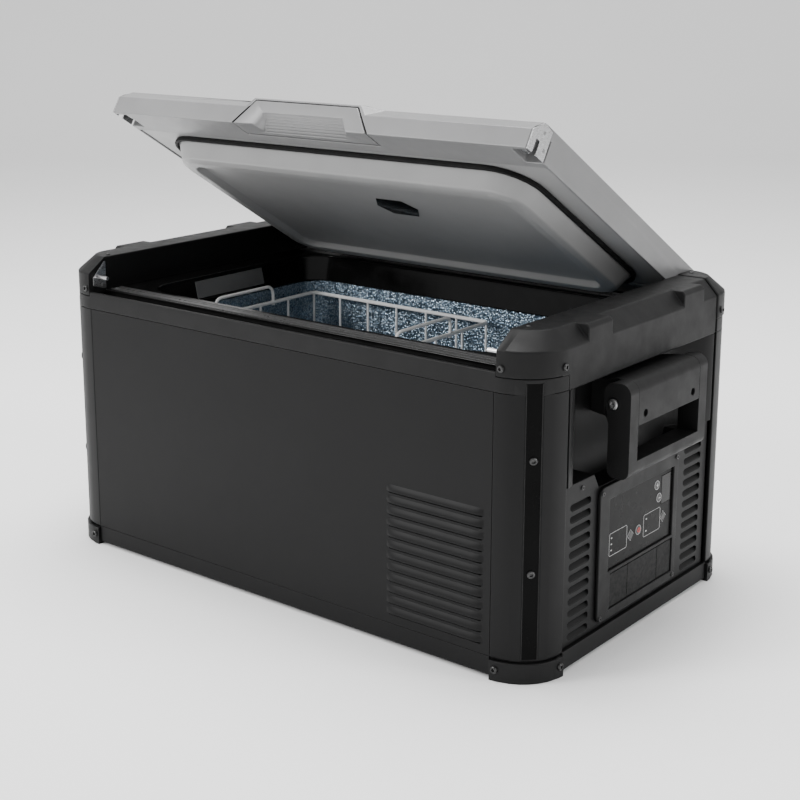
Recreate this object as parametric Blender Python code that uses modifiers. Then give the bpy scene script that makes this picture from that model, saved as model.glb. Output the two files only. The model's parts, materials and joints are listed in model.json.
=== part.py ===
"""Portable compressor cooler fridge: an assembly of separate, named pieces.

Frame: +X along the long side towards the control end, +Y from the front to the hinge side,
+Z up.  The origin is the middle of the footprint, on the floor.  Sizes below are millimetres
and the helpers turn them into metres.  Heights are measured from the underside of the base;
the feet reach below it, and the last step lifts everything so that they stand on the floor.
"""
import math

import bmesh
import bpy
from mathutils import Matrix, Vector

MM = 0.001
GAP = 0.3                       # play between pieces that touch

# Driving dimensions --------------------------------------------------------------------------
HALF_X = 355.0                  # half length over the end caps
HALF_Y = 212.5                  # half depth over the front and rear panels
CORNER_R = 52.0                 # plan radius of the body's upright corners
CORNER_LEG = 54.0               # how far a corner piece reaches from the corner
ARC_STEPS = 8                   # straight pieces in a quarter turn of a large radius

RAIL_BOTTOM = 1.0
RAIL_TOP = 21.4
FOOT_BOTTOM = -3.0
FOOT_TOP = 19.2
FOOT_PROUD = 3.0
FOOT_LEG = 52.6
POST_BOTTOM = 21.7
POST_TOP = 303.7
SKIRT_BOTTOM = 303.0            # lower edge of an end cap over the hand recess
CAP_BOTTOM = 320.0
CAP_SHOULDER = 347.0            # where the end cap's slopes begin
CAP_TOP = 365.0
CAP_INNER_X = 303.3
CAP_NARROW_X = 338.0            # outer edge of the cap's flat top
CAP_WIDE_X = 351.5              # the same where the cap is stepped out
CAP_SLOPE_Y = 186.0             # where the end slopes meet the flat top
CAP_TOP_R = 30.0                # plan radius of the flat top's corners
CAP_WIDE_Y = (77.0, 124.0)      # the stepped stretch on either side of the middle
COVER_PROUD = 1.2               # how far a hinge cover stands out from its cap
LIP_TOP = 324.5
LAND_TOP = 325.0                # sealing land of the collar
LAND_OUTER_Y = 188.0
OPENING_X = 266.0
OPENING_Y = 157.0
COLLAR_TAPER = 7.0              # how far the collar's walls lean in towards the tub

PANEL_T = 2.0
SIDE_X = 351.0                  # outer face of the lower part of an end panel
SIDE_HALF_Y = 155.0
RECESS_X = 325.0                # back wall of the hand recess
RECESS_BOTTOM = 199.0

LID_HALF_X = 302.7
LID_BOTTOM = 330.0
LID_SHOULDER = 351.5
LID_TOP = 366.0
LID_SLOPE_Y = 196.0
LID_WALL = 3.5
HINGE_Y = 190.0
HINGE_Z = 349.2
HINGE_PIN_R = 4.0
LID_REST_ANGLE = 31.2           # how far the lid stands open, degrees

PLUG_X = 263.2
PLUG_Y = 153.2
PLUG_BOTTOM = 305.0

TUB_X = 253.0
TUB_Y = 150.0
TUB_STEP_X = 62.0
TUB_FLOOR = 46.0
TUB_STEP_Z = 172.0
TUB_TOP = 290.5
TUB_T = 1.2

BEZEL_Y = (-90.0, 80.0)
BEZEL_Z = (28.0, 181.0)
BEZEL_FACE_X = 355.0
FACE_Y = (-70.0, 70.0)
FACE_Z = (83.0, 164.0)
FLAP_Z = (38.5, 77.5)
FLAP_EDGES_Y = (-65.0, -26.0, 39.5, 71.5)
FLAP_SEAT_X = 350.5
FLAP_X = (351.0, 353.6)
FACE_X = (349.0, 352.6)
BUTTONS = {"button_up": (35.5, 151.0), "button_down": (41.0, 135.0), "button_mode": (51.5, 110.0),
           "button_battery": (-20.5, 109.0), "button_power": (-3.5, 110.0)}
BUTTON_R = 4.4

HANDLE_PIVOT_X = 363.0
HANDLE_PIVOT_Z = 274.0
HANDLE_FACE_X = 383.0
HANDLE_HALF_Y = 84.0
HANDLE_ARM = 17.0
HANDLE_TOP = 297.0
HANDLE_BOTTOM = 194.0
BLOCK_BOTTOM = 250.0

CATCH_X = 292.5                 # latch catch pins
CATCH_Y = -199.0
CATCH_Z = 342.0
PADDLE_LOW_HALF = 97.5          # latch paddle
PADDLE_TOP_HALF = 74.5
PADDLE_TOP = 359.5
PADDLE_BACK_Y = -185.0
PADDLE_AXIS = (-210.0, 357.0)
HOOK_AXIS = (-184.0, 350.0)

BAY_X = 100.0                   # machine bay under the shallow end of the tub
BAY_TOP = 142.0
FAN_CENTRE = (227.0, 76.0)
FAN_Y = (-206.0, -181.0)
FAN_R = 55.0

MATERIALS = {
    "body_black": ((0.018, 0.018, 0.019), 0.42, 0.0),
    "trim_black": ((0.022, 0.022, 0.023), 0.5, 0.0),
    "gloss_black": ((0.006, 0.006, 0.007), 0.12, 0.0),
    "lid_silver": ((0.52, 0.52, 0.53), 0.36, 0.0),
    "plug_grey": ((0.62, 0.62, 0.62), 0.4, 0.0),
    "seal_black": ((0.01, 0.01, 0.01), 0.75, 0.0),
    "liner_aluminium": ((0.5, 0.56, 0.62), 0.3, 1.0),
    "steel": ((0.6, 0.6, 0.6), 0.3, 1.0),
    "basket_white": ((0.85, 0.85, 0.84), 0.35, 0.0),
    "foam": ((0.78, 0.72, 0.55), 0.95, 0.0),
    "copper": ((0.72, 0.38, 0.22), 0.3, 1.0),
    "machine_black": ((0.015, 0.015, 0.015), 0.35, 0.0),
    "board_green": ((0.02, 0.16, 0.06), 0.5, 0.0),
    "button_grey": ((0.18, 0.18, 0.19), 0.45, 0.0),
    "rubber": ((0.025, 0.025, 0.026), 0.8, 0.0),
}


# Scene and materials -------------------------------------------------------------------------
def clear_scene():
    for obj in list(bpy.data.objects):
        bpy.data.objects.remove(obj, do_unlink=True)


def collection(name):
    made = bpy.data.collections.new(name)
    bpy.context.scene.collection.children.link(made)
    return made


def material(name):
    found = bpy.data.materials.get(name)
    if found:
        return found
    colour, roughness, metallic = MATERIALS[name]
    made = bpy.data.materials.new(name)
    made.use_nodes = True
    shader = made.node_tree.nodes["Principled BSDF"]
    shader.inputs["Base Color"].default_value = (*colour, 1.0)
    shader.inputs["Roughness"].default_value = roughness
    shader.inputs["Metallic"].default_value = metallic
    made.diffuse_color = (*colour, 1.0)
    return made


# Solids --------------------------------------------------------------------------------------
def add_object(name, mesh, finish=None):
    obj = bpy.data.objects.new(name, mesh)
    PARTS.objects.link(obj)
    if finish:
        mesh.materials.append(material(finish))
    return obj


def from_bmesh(name, bm, finish=None):
    mesh = bpy.data.meshes.new(name)
    bmesh.ops.recalc_face_normals(bm, faces=bm.faces)
    bm.to_mesh(mesh)
    bm.free()
    return add_object(name, mesh, finish)


def box(name, low, high, finish=None):
    """A block between two opposite corners."""
    bm = bmesh.new()
    bmesh.ops.create_cube(bm, size=1.0)
    size = [(b - a) * MM for a, b in zip(low, high)]
    middle = [(a + b) / 2 * MM for a, b in zip(low, high)]
    bmesh.ops.scale(bm, vec=size, verts=bm.verts)
    bmesh.ops.translate(bm, vec=middle, verts=bm.verts)
    return from_bmesh(name, bm, finish)


def rod(name, start, end, radius, finish=None, sides=20):
    """A round bar from one point to another."""
    start, end = Vector(start) * MM, Vector(end) * MM
    bm = bmesh.new()
    bmesh.ops.create_cone(bm, cap_ends=True, segments=sides, radius1=radius * MM,
                          radius2=radius * MM, depth=(end - start).length)
    turn = (end - start).to_track_quat("Z", "Y").to_matrix().to_4x4()
    bmesh.ops.transform(bm, matrix=Matrix.Translation((start + end) / 2) @ turn, verts=bm.verts)
    return from_bmesh(name, bm, finish)


AXIS_TURN = {
    "z": Matrix.Identity(4),
    "x": Matrix(((0, 0, 1, 0), (1, 0, 0, 0), (0, 1, 0, 0), (0, 0, 0, 1))),
    "y": Matrix(((1, 0, 0, 0), (0, 0, 1, 0), (0, 1, 0, 0), (0, 0, 0, 1))),
}


def prism(name, outline, low, high, axis="z", holes=(), finish=None):
    """A flat outline, with holes, given thickness from low to high along an axis.

    The outline's pairs are (x, y) for axis z, (y, z) for axis x and (x, z) for axis y.
    """
    curve = bpy.data.curves.new(name + "_outline", "CURVE")
    curve.dimensions = "2D"
    curve.fill_mode = "BOTH"
    curve.extrude = (high - low) / 2 * MM
    for loop in (outline, *holes):
        spline = curve.splines.new("POLY")
        spline.points.add(len(loop) - 1)
        for point, (u, v) in zip(spline.points, loop):
            point.co = (u * MM, v * MM, 0.0, 1.0)
        spline.use_cyclic_u = True
    place = AXIS_TURN[axis] @ Matrix.Translation((0, 0, (low + high) / 2 * MM))
    return from_curve(name, curve, finish, place)


def from_curve(name, curve, finish=None, matrix=None):
    """A curve turned into a closed mesh, so that it can be cut and joined."""
    guide = bpy.data.objects.new(name + "_guide", curve)
    PARTS.objects.link(guide)
    evaluated = guide.evaluated_get(bpy.context.evaluated_depsgraph_get())
    mesh = bpy.data.meshes.new_from_object(evaluated)
    mesh.materials.clear()
    bm = bmesh.new()
    bm.from_mesh(mesh)
    bmesh.ops.remove_doubles(bm, verts=bm.verts, dist=1e-6)
    if matrix:
        bmesh.ops.transform(bm, matrix=matrix, verts=bm.verts)
    bpy.data.objects.remove(guide, do_unlink=True)
    bpy.data.meshes.remove(mesh)
    return from_bmesh(name, bm, finish)


def tube(name, points, radius, finish=None, closed=False, resolution=2):
    """A round wire or pipe along straight runs between points."""
    curve = bpy.data.curves.new(name + "_path", "CURVE")
    curve.dimensions = "3D"
    curve.bevel_depth = radius * MM
    curve.bevel_resolution = resolution
    curve.use_fill_caps = not closed
    spline = curve.splines.new("POLY")
    spline.points.add(len(points) - 1)
    for point, place in zip(spline.points, points):
        point.co = (*[value * MM for value in place], 1.0)
    spline.use_cyclic_u = closed
    return from_curve(name, curve, finish)


def loft(name, sections, finish=None):
    """A closed skin over loops of points that all have the same count."""
    bm = bmesh.new()
    rings = [[bm.verts.new([value * MM for value in point]) for point in loop] for loop in sections]
    count = len(rings[0])
    for lower, upper in zip(rings, rings[1:]):
        for k in range(count):
            after = (k + 1) % count
            bm.faces.new((lower[k], lower[after], upper[after], upper[k]))
    bm.faces.new(rings[0])
    bm.faces.new(rings[-1])
    return from_bmesh(name, bm, finish)


def turned(name, profile, centre, steps=28, finish=None):
    """A round piece about an upright axis; the profile is (radius, height), top to bottom."""
    mesh = bpy.data.meshes.new(name)
    points = [(radius * MM, 0.0, height * MM) for radius, height in profile]
    mesh.from_pydata(points, [(k, k + 1) for k in range(len(points) - 1)], [])
    obj = add_object(name, mesh, finish)
    obj.location = Vector(centre) * MM
    screw = obj.modifiers.new("turn", "SCREW")
    screw.steps = screw.render_steps = steps
    screw.use_merge_vertices = True
    screw.merge_threshold = 0.00001
    screw.use_smooth_shade = False
    return obj


# Joining and cutting -------------------------------------------------------------------------
TOOLS_OF = {}


def combine(target, operation, others):
    for other in others:
        step = target.modifiers.new(operation.lower(), "BOOLEAN")
        step.operation = operation
        step.solver = "EXACT"
        step.object = other
        if other.name not in TOOLS.objects:
            TOOLS.objects.link(other)
            PARTS.objects.unlink(other)
        other.hide_render = True
        other.display_type = "WIRE"
        TOOLS_OF.setdefault(target.name, []).append(other)
    return target


def cut(target, *others):
    return combine(target, "DIFFERENCE", others)


def join(target, *others):
    return combine(target, "UNION", others)


def overlap(target, *others):
    return combine(target, "INTERSECT", others)


def pivot(name, place, turn=(0.0, 0.0, 0.0)):
    """An empty on a joint's axis; pieces are made as if it were not turned yet."""
    empty = bpy.data.objects.new(name, None)
    PARTS.objects.link(empty)
    empty.location = Vector(place) * MM
    empty.rotation_euler = [math.radians(angle) for angle in turn]
    return empty


def hang(empty, *pieces):
    """Parent pieces and their cutters to an empty, and let them follow its turn."""
    back = Matrix.Translation(-empty.location)
    for piece in pieces:
        for member in (piece, *TOOLS_OF.get(piece.name, ())):
            if member.parent is None:
                member.parent = empty
                member.matrix_parent_inverse = back


# Outlines ------------------------------------------------------------------------------------
def arc(centre, radius, start, end, steps=ARC_STEPS):
    """Points along an arc, angles in degrees."""
    angles = [math.radians(start + (end - start) * k / steps) for k in range(steps + 1)]
    return [(centre[0] + radius * math.cos(a), centre[1] + radius * math.sin(a)) for a in angles]


def rounded_rect(x_range, y_range, radius, steps=ARC_STEPS):
    (x0, x1), (y0, y1) = x_range, y_range
    loop = arc((x1 - radius, y0 + radius), radius, -90, 0, steps)
    loop += arc((x1 - radius, y1 - radius), radius, 0, 90, steps)
    loop += arc((x0 + radius, y1 - radius), radius, 90, 180, steps)
    loop += arc((x0 + radius, y0 + radius), radius, 180, 270, steps)
    return loop


def body_outline(inset=0.0):
    """The body's plan outline, moved inwards by inset."""
    x, y = HALF_X - inset, HALF_Y - inset
    return rounded_rect((-x, x), (-y, y), CORNER_R - inset)


def corner_band(outset, thickness, leg=CORNER_LEG):
    """An L-shaped band around the +X -Y corner, its outer side moved out by outset."""
    centre = (HALF_X - CORNER_R, -HALF_Y + CORNER_R)
    outer = CORNER_R + outset
    inner = outer - thickness
    loop = [(HALF_X - leg, centre[1] - outer)] + arc(centre, outer, -90, 0)
    loop += [(centre[0] + outer, -HALF_Y + leg)]
    loop += [(centre[0] + inner, -HALF_Y + leg)] + arc(centre, inner, 0, -90)
    loop += [(HALF_X - leg, centre[1] - inner)]
    return loop


def mirrored(loop, side_x, side_y):
    return [(x * side_x, y * side_y) for x, y in loop]


CORNERS = {"front_right": (1, 1), "front_left": (-1, 1), "rear_right": (1, -1), "rear_left": (-1, -1)}
SIDES = {"right": 1, "left": -1}


def ordered(a, b):
    return (a, b) if a < b else (b, a)


def side_box(name, side, x_range, y_range, z_range, finish=None):
    """A block given for the right-hand end and mirrored for the left-hand one."""
    x0, x1 = ordered(x_range[0] * side, x_range[1] * side)
    return box(name, (x0, y_range[0], z_range[0]), (x1, y_range[1], z_range[1]), finish)


def side_prism(name, side, outline, x_range, holes=(), finish=None):
    """An outline in Y and Z, given thickness along X at one end of the body."""
    x0, x1 = ordered(x_range[0] * side, x_range[1] * side)
    return prism(name, outline, x0, x1, "x", holes, finish)


# Base, feet and posts ------------------------------------------------------------------------
def make_base():
    inset = 2.3
    wall = 5.0
    floor_z = (4.0, 6.0)
    tray = prism("base_tray", body_outline(inset), floor_z[0], RAIL_TOP, finish="body_black")
    reach_x = HALF_X - CORNER_LEG - GAP
    reach_y = HALF_Y - CORNER_LEG - GAP
    for side in (-1, 1):
        y0, y1 = ordered(side * HALF_Y, side * (HALF_Y - wall))
        join(tray, box("rail_y", (-reach_x, y0, RAIL_BOTTOM), (reach_x, y1, RAIL_TOP)))
        x0, x1 = ordered(side * HALF_X, side * (HALF_X - wall))
        join(tray, box("rail_x", (x0, -reach_y, RAIL_BOTTOM), (x1, reach_y, RAIL_TOP)))
    cut(tray, prism("tray_well", body_outline(wall), floor_z[1], RAIL_TOP + 10))


def make_corners():
    foot_wall = 4.6
    post_wall = 4.0
    pad_top = 0.6
    groove_width = 18.0
    groove_depth = 1.8
    groove_top = 316.0
    centre = (HALF_X - CORNER_R, -HALF_Y + CORNER_R)
    for corner, (sx, sy) in CORNERS.items():
        foot = prism("foot_" + corner, mirrored(corner_band(FOOT_PROUD, foot_wall, FOOT_LEG), sx, sy),
                     FOOT_BOTTOM, FOOT_TOP, finish="trim_black")
        pad = [(HALF_X - FOOT_LEG, -HALF_Y + 1.0)] + arc(centre, CORNER_R - 1.0, -90, 0)
        pad += [(HALF_X - 1.0, -HALF_Y + FOOT_LEG), (HALF_X - 20.0, -HALF_Y + FOOT_LEG),
                (HALF_X - FOOT_LEG, -HALF_Y + 20.0)]
        join(foot, prism("foot_pad", mirrored(pad, sx, sy), FOOT_BOTTOM, pad_top))
        post = prism("post_" + corner, mirrored(corner_band(0.0, post_wall), sx, sy),
                     POST_BOTTOM, POST_TOP, finish="body_black")
        cut(post, corner_groove(sx, sy, groove_width, groove_depth, groove_top))


def corner_groove(sx, sy, width, depth, top):
    """A cutter for the upright channel in the middle of a post's curve."""
    groove = box("groove", (CORNER_R - depth, -width / 2, FOOT_BOTTOM), (CORNER_R + 5, width / 2, top))
    groove.rotation_euler = (0, 0, math.atan2(-sy, sx))
    groove.location = ((HALF_X - CORNER_R) * sx * MM, (-HALF_Y + CORNER_R) * sy * MM, 0)
    return groove


# Panels --------------------------------------------------------------------------------------
def louvre_holes(x_range, z_range, count, slot):
    """Outlines of a column of long slots with round ends, in X and Z."""
    pitch = (z_range[1] - z_range[0]) / count
    holes = []
    for k in range(count):
        z = z_range[0] + pitch * (k + 0.5)
        holes.append(rounded_rect(x_range, (z - slot / 2, z + slot / 2), slot / 2 - 0.05, 2))
    return holes


def make_front_and_rear():
    half = HALF_X - CORNER_LEG - GAP
    z0, z1 = RAIL_TOP + GAP, POST_TOP
    outline = [(-half, z0), (half, z0), (half, z1), (-half, z1)]
    front_slots = louvre_holes((167, 290), (28, 179), 12, 5.0)
    prism("front_panel", outline, -HALF_Y, -HALF_Y + PANEL_T, "y", front_slots, "body_black")
    rear_slots = louvre_holes((167, 290), (28, 129), 8, 5.0)
    prism("rear_panel", outline, HALF_Y - PANEL_T, HALF_Y, "y", rear_slots, "body_black")


def s_curve(start, end, steps=8):
    """Points on a smooth step from one place to another."""
    points = []
    for k in range(steps + 1):
        t = k / steps
        ease = t * t * (3 - 2 * t)
        points.append((start[0] + (end[0] - start[0]) * ease, start[1] + (end[1] - start[1]) * t))
    return points


def recess_side(shift=0.0):
    """The hand recess's curved side wall at its -Y end, from its mouth to its back wall."""
    mouth = (HALF_X - 0.6 - shift, -(SIDE_HALF_Y - 2.0 + shift))
    back = (RECESS_X - shift, -(SIDE_HALF_Y - 58.0 + shift))
    return s_curve(mouth, back)


def make_end_panel(side, word):
    """An end panel: flat and slotted below, bowed in above to make room for a hand."""
    wall = 2.5
    notch_z = 182.5
    edge_y = 98.0
    floor_y = 88.0
    panel = side_box("end_panel_" + word, side, (RECESS_X - wall, HALF_X - 0.6), (-SIDE_HALF_Y, SIDE_HALF_Y),
                     (RAIL_TOP + GAP, SKIRT_BOTTOM - GAP), "body_black")

    def stepped(half, top, grow):
        """Outline below the shelf, which dips in the middle under the carry handle."""
        low = notch_z + top - RECESS_BOTTOM
        return [(-half, 0), (half, 0), (half, top), (edge_y + grow, top), (floor_y + grow, low),
                (-floor_y - grow, low), (-edge_y - grow, top), (-half, top)]

    near = recess_side()
    mouth = [(HALF_X + 30, near[0][1])] + near + mirrored(near[::-1], 1, -1) + [(HALF_X + 30, -near[0][1])]
    hollow = prism("hand_hollow", mirrored(mouth, side, 1), notch_z - 20, CAP_TOP)
    cut(hollow, side_prism("shelf_limit", side, stepped(220.0, RECESS_BOTTOM, 0.0), (280, 420)))
    shave = side_box("shave", side, (SIDE_X, HALF_X + 5), (-200, 200), (0, RECESS_BOTTOM))
    inside = side_prism("inside_low", side, stepped(SIDE_HALF_Y - wall, RECESS_BOTTOM - wall, wall),
                        (RECESS_X - 10, SIDE_X - wall))
    cut(panel, hollow, shave, inside)
    skin = recess_side(wall)[1:]
    behind = skin + [(RECESS_X - 10, skin[-1][1]), (RECESS_X - 10, skin[0][1])]
    for end in (-1, 1):
        cut(panel, prism("recess_back", mirrored(behind, side, end), RECESS_BOTTOM - wall, CAP_TOP))
    slots = []
    for y_range in ((-144, -103), (100, 141)):
        slots += louvre_holes(y_range, (25, 180), 12, 7.2)
    cut(panel, side_prism("vent_slots", side, slots[0], (SIDE_X - 8, SIDE_X + 8), slots[1:]))
    if side > 0:
        cut(panel, box("bezel_hole", (SIDE_X - 8, BEZEL_Y[0] + 6, BEZEL_Z[0] + 6),
                       (SIDE_X + 8, BEZEL_Y[1] - 6, BEZEL_Z[1] - 6)))


# Top rails, end caps and hinge covers --------------------------------------------------------
def make_top_rails():
    """Front and rear rails, each with the two short bends that run round its corners."""
    wall = 4.0
    lip = 5.5
    trough_z = 318.5
    z0, z1 = POST_TOP + GAP, CAP_BOTTOM - GAP
    centre = (HALF_X - CORNER_R, -HALF_Y + CORNER_R)
    for word, flip in (("front", 1), ("rear", -1)):
        outer = [(-HALF_X, -HALF_Y + CORNER_LEG)] + arc((-centre[0], centre[1]), CORNER_R, 180, 270)
        outer += arc(centre, CORNER_R, -90, 0) + [(HALF_X, -HALF_Y + CORNER_LEG)]
        inner = [(HALF_X - wall, -HALF_Y + CORNER_LEG)] + arc(centre, CORNER_R - wall, 0, -90)
        inner += arc((-centre[0], centre[1]), CORNER_R - wall, 270, 180)
        inner += [(-HALF_X + wall, -HALF_Y + CORNER_LEG)]
        rail = prism("top_rail_" + word, mirrored(outer + inner, 1, flip), z0, z1, finish="trim_black")
        y0, y1 = ordered(-HALF_Y * flip, -(LAND_OUTER_Y + GAP) * flip)
        join(rail, box("rail_bed", (-CAP_INNER_X + GAP, y0, z0), (CAP_INNER_X - GAP, y1, trough_z)))
        y0, y1 = ordered(-HALF_Y * flip, -(HALF_Y - lip) * flip)
        join(rail, box("rail_lip", (-CAP_INNER_X + GAP, y0, z0), (CAP_INNER_X - GAP, y1, LIP_TOP)))
        for sx in (-1, 1):
            cut(rail, corner_groove(sx, flip, 18.0, 1.8, 316.0))


def cap_blank(name, side, outset, y_range, finish=None):
    """The end cap's outer shape between two places along Y, moved outwards by outset."""
    def ring(half_x, half_y, radius, z):
        outline = rounded_rect((-half_x, half_x), (-half_y, half_y), radius)
        return [(x, y, z) for x, y in outline]

    straight = (HALF_X + outset, HALF_Y + outset, CORNER_R + outset)
    flat = (CAP_NARROW_X + outset, CAP_SLOPE_Y + outset, CAP_TOP_R + outset)
    cap = loft(name, [ring(*straight, SKIRT_BOTTOM), ring(*straight, CAP_SHOULDER + outset),
                      ring(*flat, CAP_TOP + outset)], finish)
    step = [(CAP_INNER_X + 5, CAP_SHOULDER - 5), (HALF_X + outset, CAP_SHOULDER - 5),
            (HALF_X + outset, CAP_TOP - 4 + outset), (CAP_WIDE_X + outset, CAP_TOP + outset),
            (CAP_INNER_X + 5, CAP_TOP + outset)]
    for end in (-1, 1):
        y0, y1 = ordered(CAP_WIDE_Y[0] * end, CAP_WIDE_Y[1] * end)
        join(cap, prism("cap_step", mirrored(step, side, 1), y0, y1, "y"))
    overlap(cap, side_box("cap_keep", side, (CAP_INNER_X, HALF_X + 10), y_range,
                          (SKIRT_BOTTOM - 5, CAP_TOP + 10)))
    return cap


def make_end_cap(side, word):
    cover_start = 156.0
    wall = 4.0
    skirt_y = HALF_Y - CORNER_LEG - GAP
    low = SKIRT_BOTTOM - 5
    cap = cap_blank("end_cap_" + word, side, 0.0, (-HALF_Y - 5, cover_start - GAP), "trim_black")
    cut(cap, side_box("cap_corner", side, (CAP_INNER_X - 5, HALF_X + 10), (-HALF_Y - 5, -skirt_y),
                      (low, CAP_BOTTOM)))
    cut(cap, side_box("cap_back", side, (CAP_INNER_X - 5, RECESS_X - 2.5 + GAP), (-HALF_Y - 5, HALF_Y),
                      (low, CAP_BOTTOM)))
    cut(cap, side_box("cap_room", side, (CAP_INNER_X + wall, HALF_X - 22), (-HALF_Y + 40, cover_start - 10),
                      (low, CAP_SHOULDER - 6)))
    cut(cap, side_prism("striker_seat", side, striker_outline(GAP), (CAP_INNER_X - 5, CAP_INNER_X + 2.3)))
    cover = cap_blank("hinge_cover_" + word, side, COVER_PROUD, (cover_start, HALF_Y + 5), "trim_black")
    cut(cover, side_box("cover_low", side, (CAP_INNER_X - 5, HALF_X + 10), (0, HALF_Y + 5),
                        (low, CAP_BOTTOM)))
    pin_x, bore_x = (CAP_INNER_X - 14.3, CAP_INNER_X + 25.7), (CAP_INNER_X - 5, CAP_INNER_X + 27.7)
    bore, pin = [[(x * side, HINGE_Y, HINGE_Z) for x in ends] for ends in (bore_x, pin_x)]
    cut(cover, rod("cover_bore", *bore, HINGE_PIN_R + GAP))
    rod("hinge_pin_" + word, *pin, HINGE_PIN_R, "steel")


def striker_outline(grow=0.0):
    front, back = -205.2 - grow, -184.5 + grow
    low, high = 325.5 - grow, 359.5 + grow
    return [(front, 331), (front, 341 + grow), (-187 - grow, high), (back, high), (back, low),
            (-187 - grow, low)]


def make_striker(side, word):
    """A steel plate let into the end cap's inner face, with the pin that the lid's hook holds."""
    plate = side_prism("striker_" + word, side, striker_outline(), (CAP_INNER_X, CAP_INNER_X + 2.0),
                       finish="steel")
    join(plate, rod("catch_pin", ((CATCH_X - 8.5) * side, CATCH_Y, CATCH_Z),
                    ((CAP_INNER_X + 1) * side, CATCH_Y, CATCH_Z), 2.5, sides=16))


# Collar, tub and insulation ------------------------------------------------------------------
def opening_outline(inset):
    return rounded_rect((-OPENING_X + inset, OPENING_X - inset), (-OPENING_Y + inset, OPENING_Y - inset),
                        42 - inset, 6)


def make_collar():
    flange_z = 311.0
    wall = 4.0
    outer = [(-CAP_INNER_X + GAP, -LAND_OUTER_Y), (CAP_INNER_X - GAP, -LAND_OUTER_Y),
             (CAP_INNER_X - GAP, LAND_OUTER_Y), (-CAP_INNER_X + GAP, LAND_OUTER_Y)]
    collar = prism("collar", outer, flange_z, LAND_TOP, finish="gloss_black")
    bottom = TUB_TOP + GAP

    def ring(inset, z):
        return [(x, y, z) for x, y in opening_outline(inset)]

    skirt = loft("collar_skirt", [ring(COLLAR_TAPER - wall, bottom), ring(-wall, flange_z + 2)])
    join(collar, skirt)
    cut(collar, loft("collar_opening", [ring(COLLAR_TAPER + 0.4, bottom - 2), ring(0, LAND_TOP - 4),
                                        ring(0, LAND_TOP + 4)]))


def tub_solid(name, grow, top, finish=None):
    """The tub's outer or inner shape: a deep well and a shallow step over the machinery."""
    radius = 34.0 + grow
    x, y = TUB_X + grow, TUB_Y + grow
    well = prism(name, rounded_rect((-x, TUB_STEP_X + grow), (-y, y), radius, 6), TUB_FLOOR - grow, top,
                 finish=finish)
    step = prism(name + "_step", rounded_rect((-x, x), (-y, y), radius, 6), TUB_STEP_Z - grow, top)
    return join(well, step)


def make_tub():
    tub = tub_solid("tub_liner", TUB_T, TUB_TOP, "liner_aluminium")
    lip = rounded_rect((-TUB_X - 8, TUB_X + 8), (-TUB_Y - 8, TUB_Y + 8), 42, 6)
    join(tub, prism("tub_lip", lip, TUB_TOP - TUB_T, TUB_TOP))
    cut(tub, tub_solid("tub_inside", 0.0, TUB_TOP + 10))


def make_foam():
    low_x, high_x = -RECESS_X + 4, 300.0
    half_y = HALF_Y - 6.0
    foam = prism("foam_body", rounded_rect((low_x, high_x), (-half_y, half_y), 20, 3), 7.0, 302.0,
                 finish="foam")
    cut(foam, tub_solid("foam_well", 9.5, 320.0))
    cut(foam, prism("foam_rim", opening_outline(-6.0), TUB_TOP - 2.0, 320.0))
    cut(foam, box("machine_bay", (BAY_X, -half_y - 5, 0), (high_x + 5, half_y + 5, BAY_TOP)))


def make_inner_plate():
    """Blank metal plate on the collar's left inner wall."""
    plate = box("inner_plate", (-0.4, -62, -11), (0.4, 62, 11), "steel")
    plate.location = (-(OPENING_X - 3.6) * MM, -8 * MM, 309.0 * MM)
    plate.rotation_euler = (0, -math.atan2(COLLAR_TAPER, LAND_TOP - 4 - TUB_TOP), 0)


# Cooling machinery ---------------------------------------------------------------------------
def make_evaporator():
    """Cooling pipe wound round the outside of the well."""
    turns = 5
    low_z, high_z = 62.0, 150.0
    ring = rounded_rect((-TUB_X - 5.5, TUB_STEP_X + 5.5), (-TUB_Y - 5.5, TUB_Y + 5.5), 38, 3)
    count = len(ring)
    points = []
    for k in range(turns * count):
        x, y = ring[k % count]
        points.append((x, y, low_z + (high_z - low_z) * k / (turns * count)))
    tube("evaporator_coil", points, 3.0, "copper", resolution=1)


def make_machinery():
    centre = (162.0, 62.0)
    deck_z = (10.0, 13.0)
    profile = [(0, 128), (20, 127), (38, 121), (50, 108), (55, 92), (55, 84), (58, 84), (58, 76),
               (55, 76), (55, 40), (51, 26), (40, 18), (0, 18)]
    turned("compressor", profile, (*centre, 0), 24, "machine_black")
    deck = prism("compressor_base", rounded_rect((98 + 8, 228), (-8, 132), 12, 3), *deck_z, finish="steel")
    for x in (centre[0] - 44, centre[0] + 44):
        for y in (centre[1] - 44, centre[1] + 44):
            join(deck, rod("base_foot", (x, y, 6.3), (x, y, 11), 7, sides=10))
    ring = [(36, 17.6), (36, 12), (44, 12), (44, 17.6), (36, 17.6)]
    join(deck, turned("base_ring", ring, (*centre, 0), 24))
    fins = 18
    pitch = 6.0
    x0, y0, y1 = 172.0, -164.0, -138.0
    comb = []
    for k in range(fins):
        x = x0 + pitch * k
        comb += [(x, y0), (x + 1.4, y0), (x + 1.4, y1 - 6), (x + pitch, y1 - 6)]
    comb = comb[:-1] + [(x0 + pitch * (fins - 1) + 1.4, y1), (x0, y1)]
    prism("condenser", comb, 18.0, 132.0, finish="machine_black")


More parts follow.
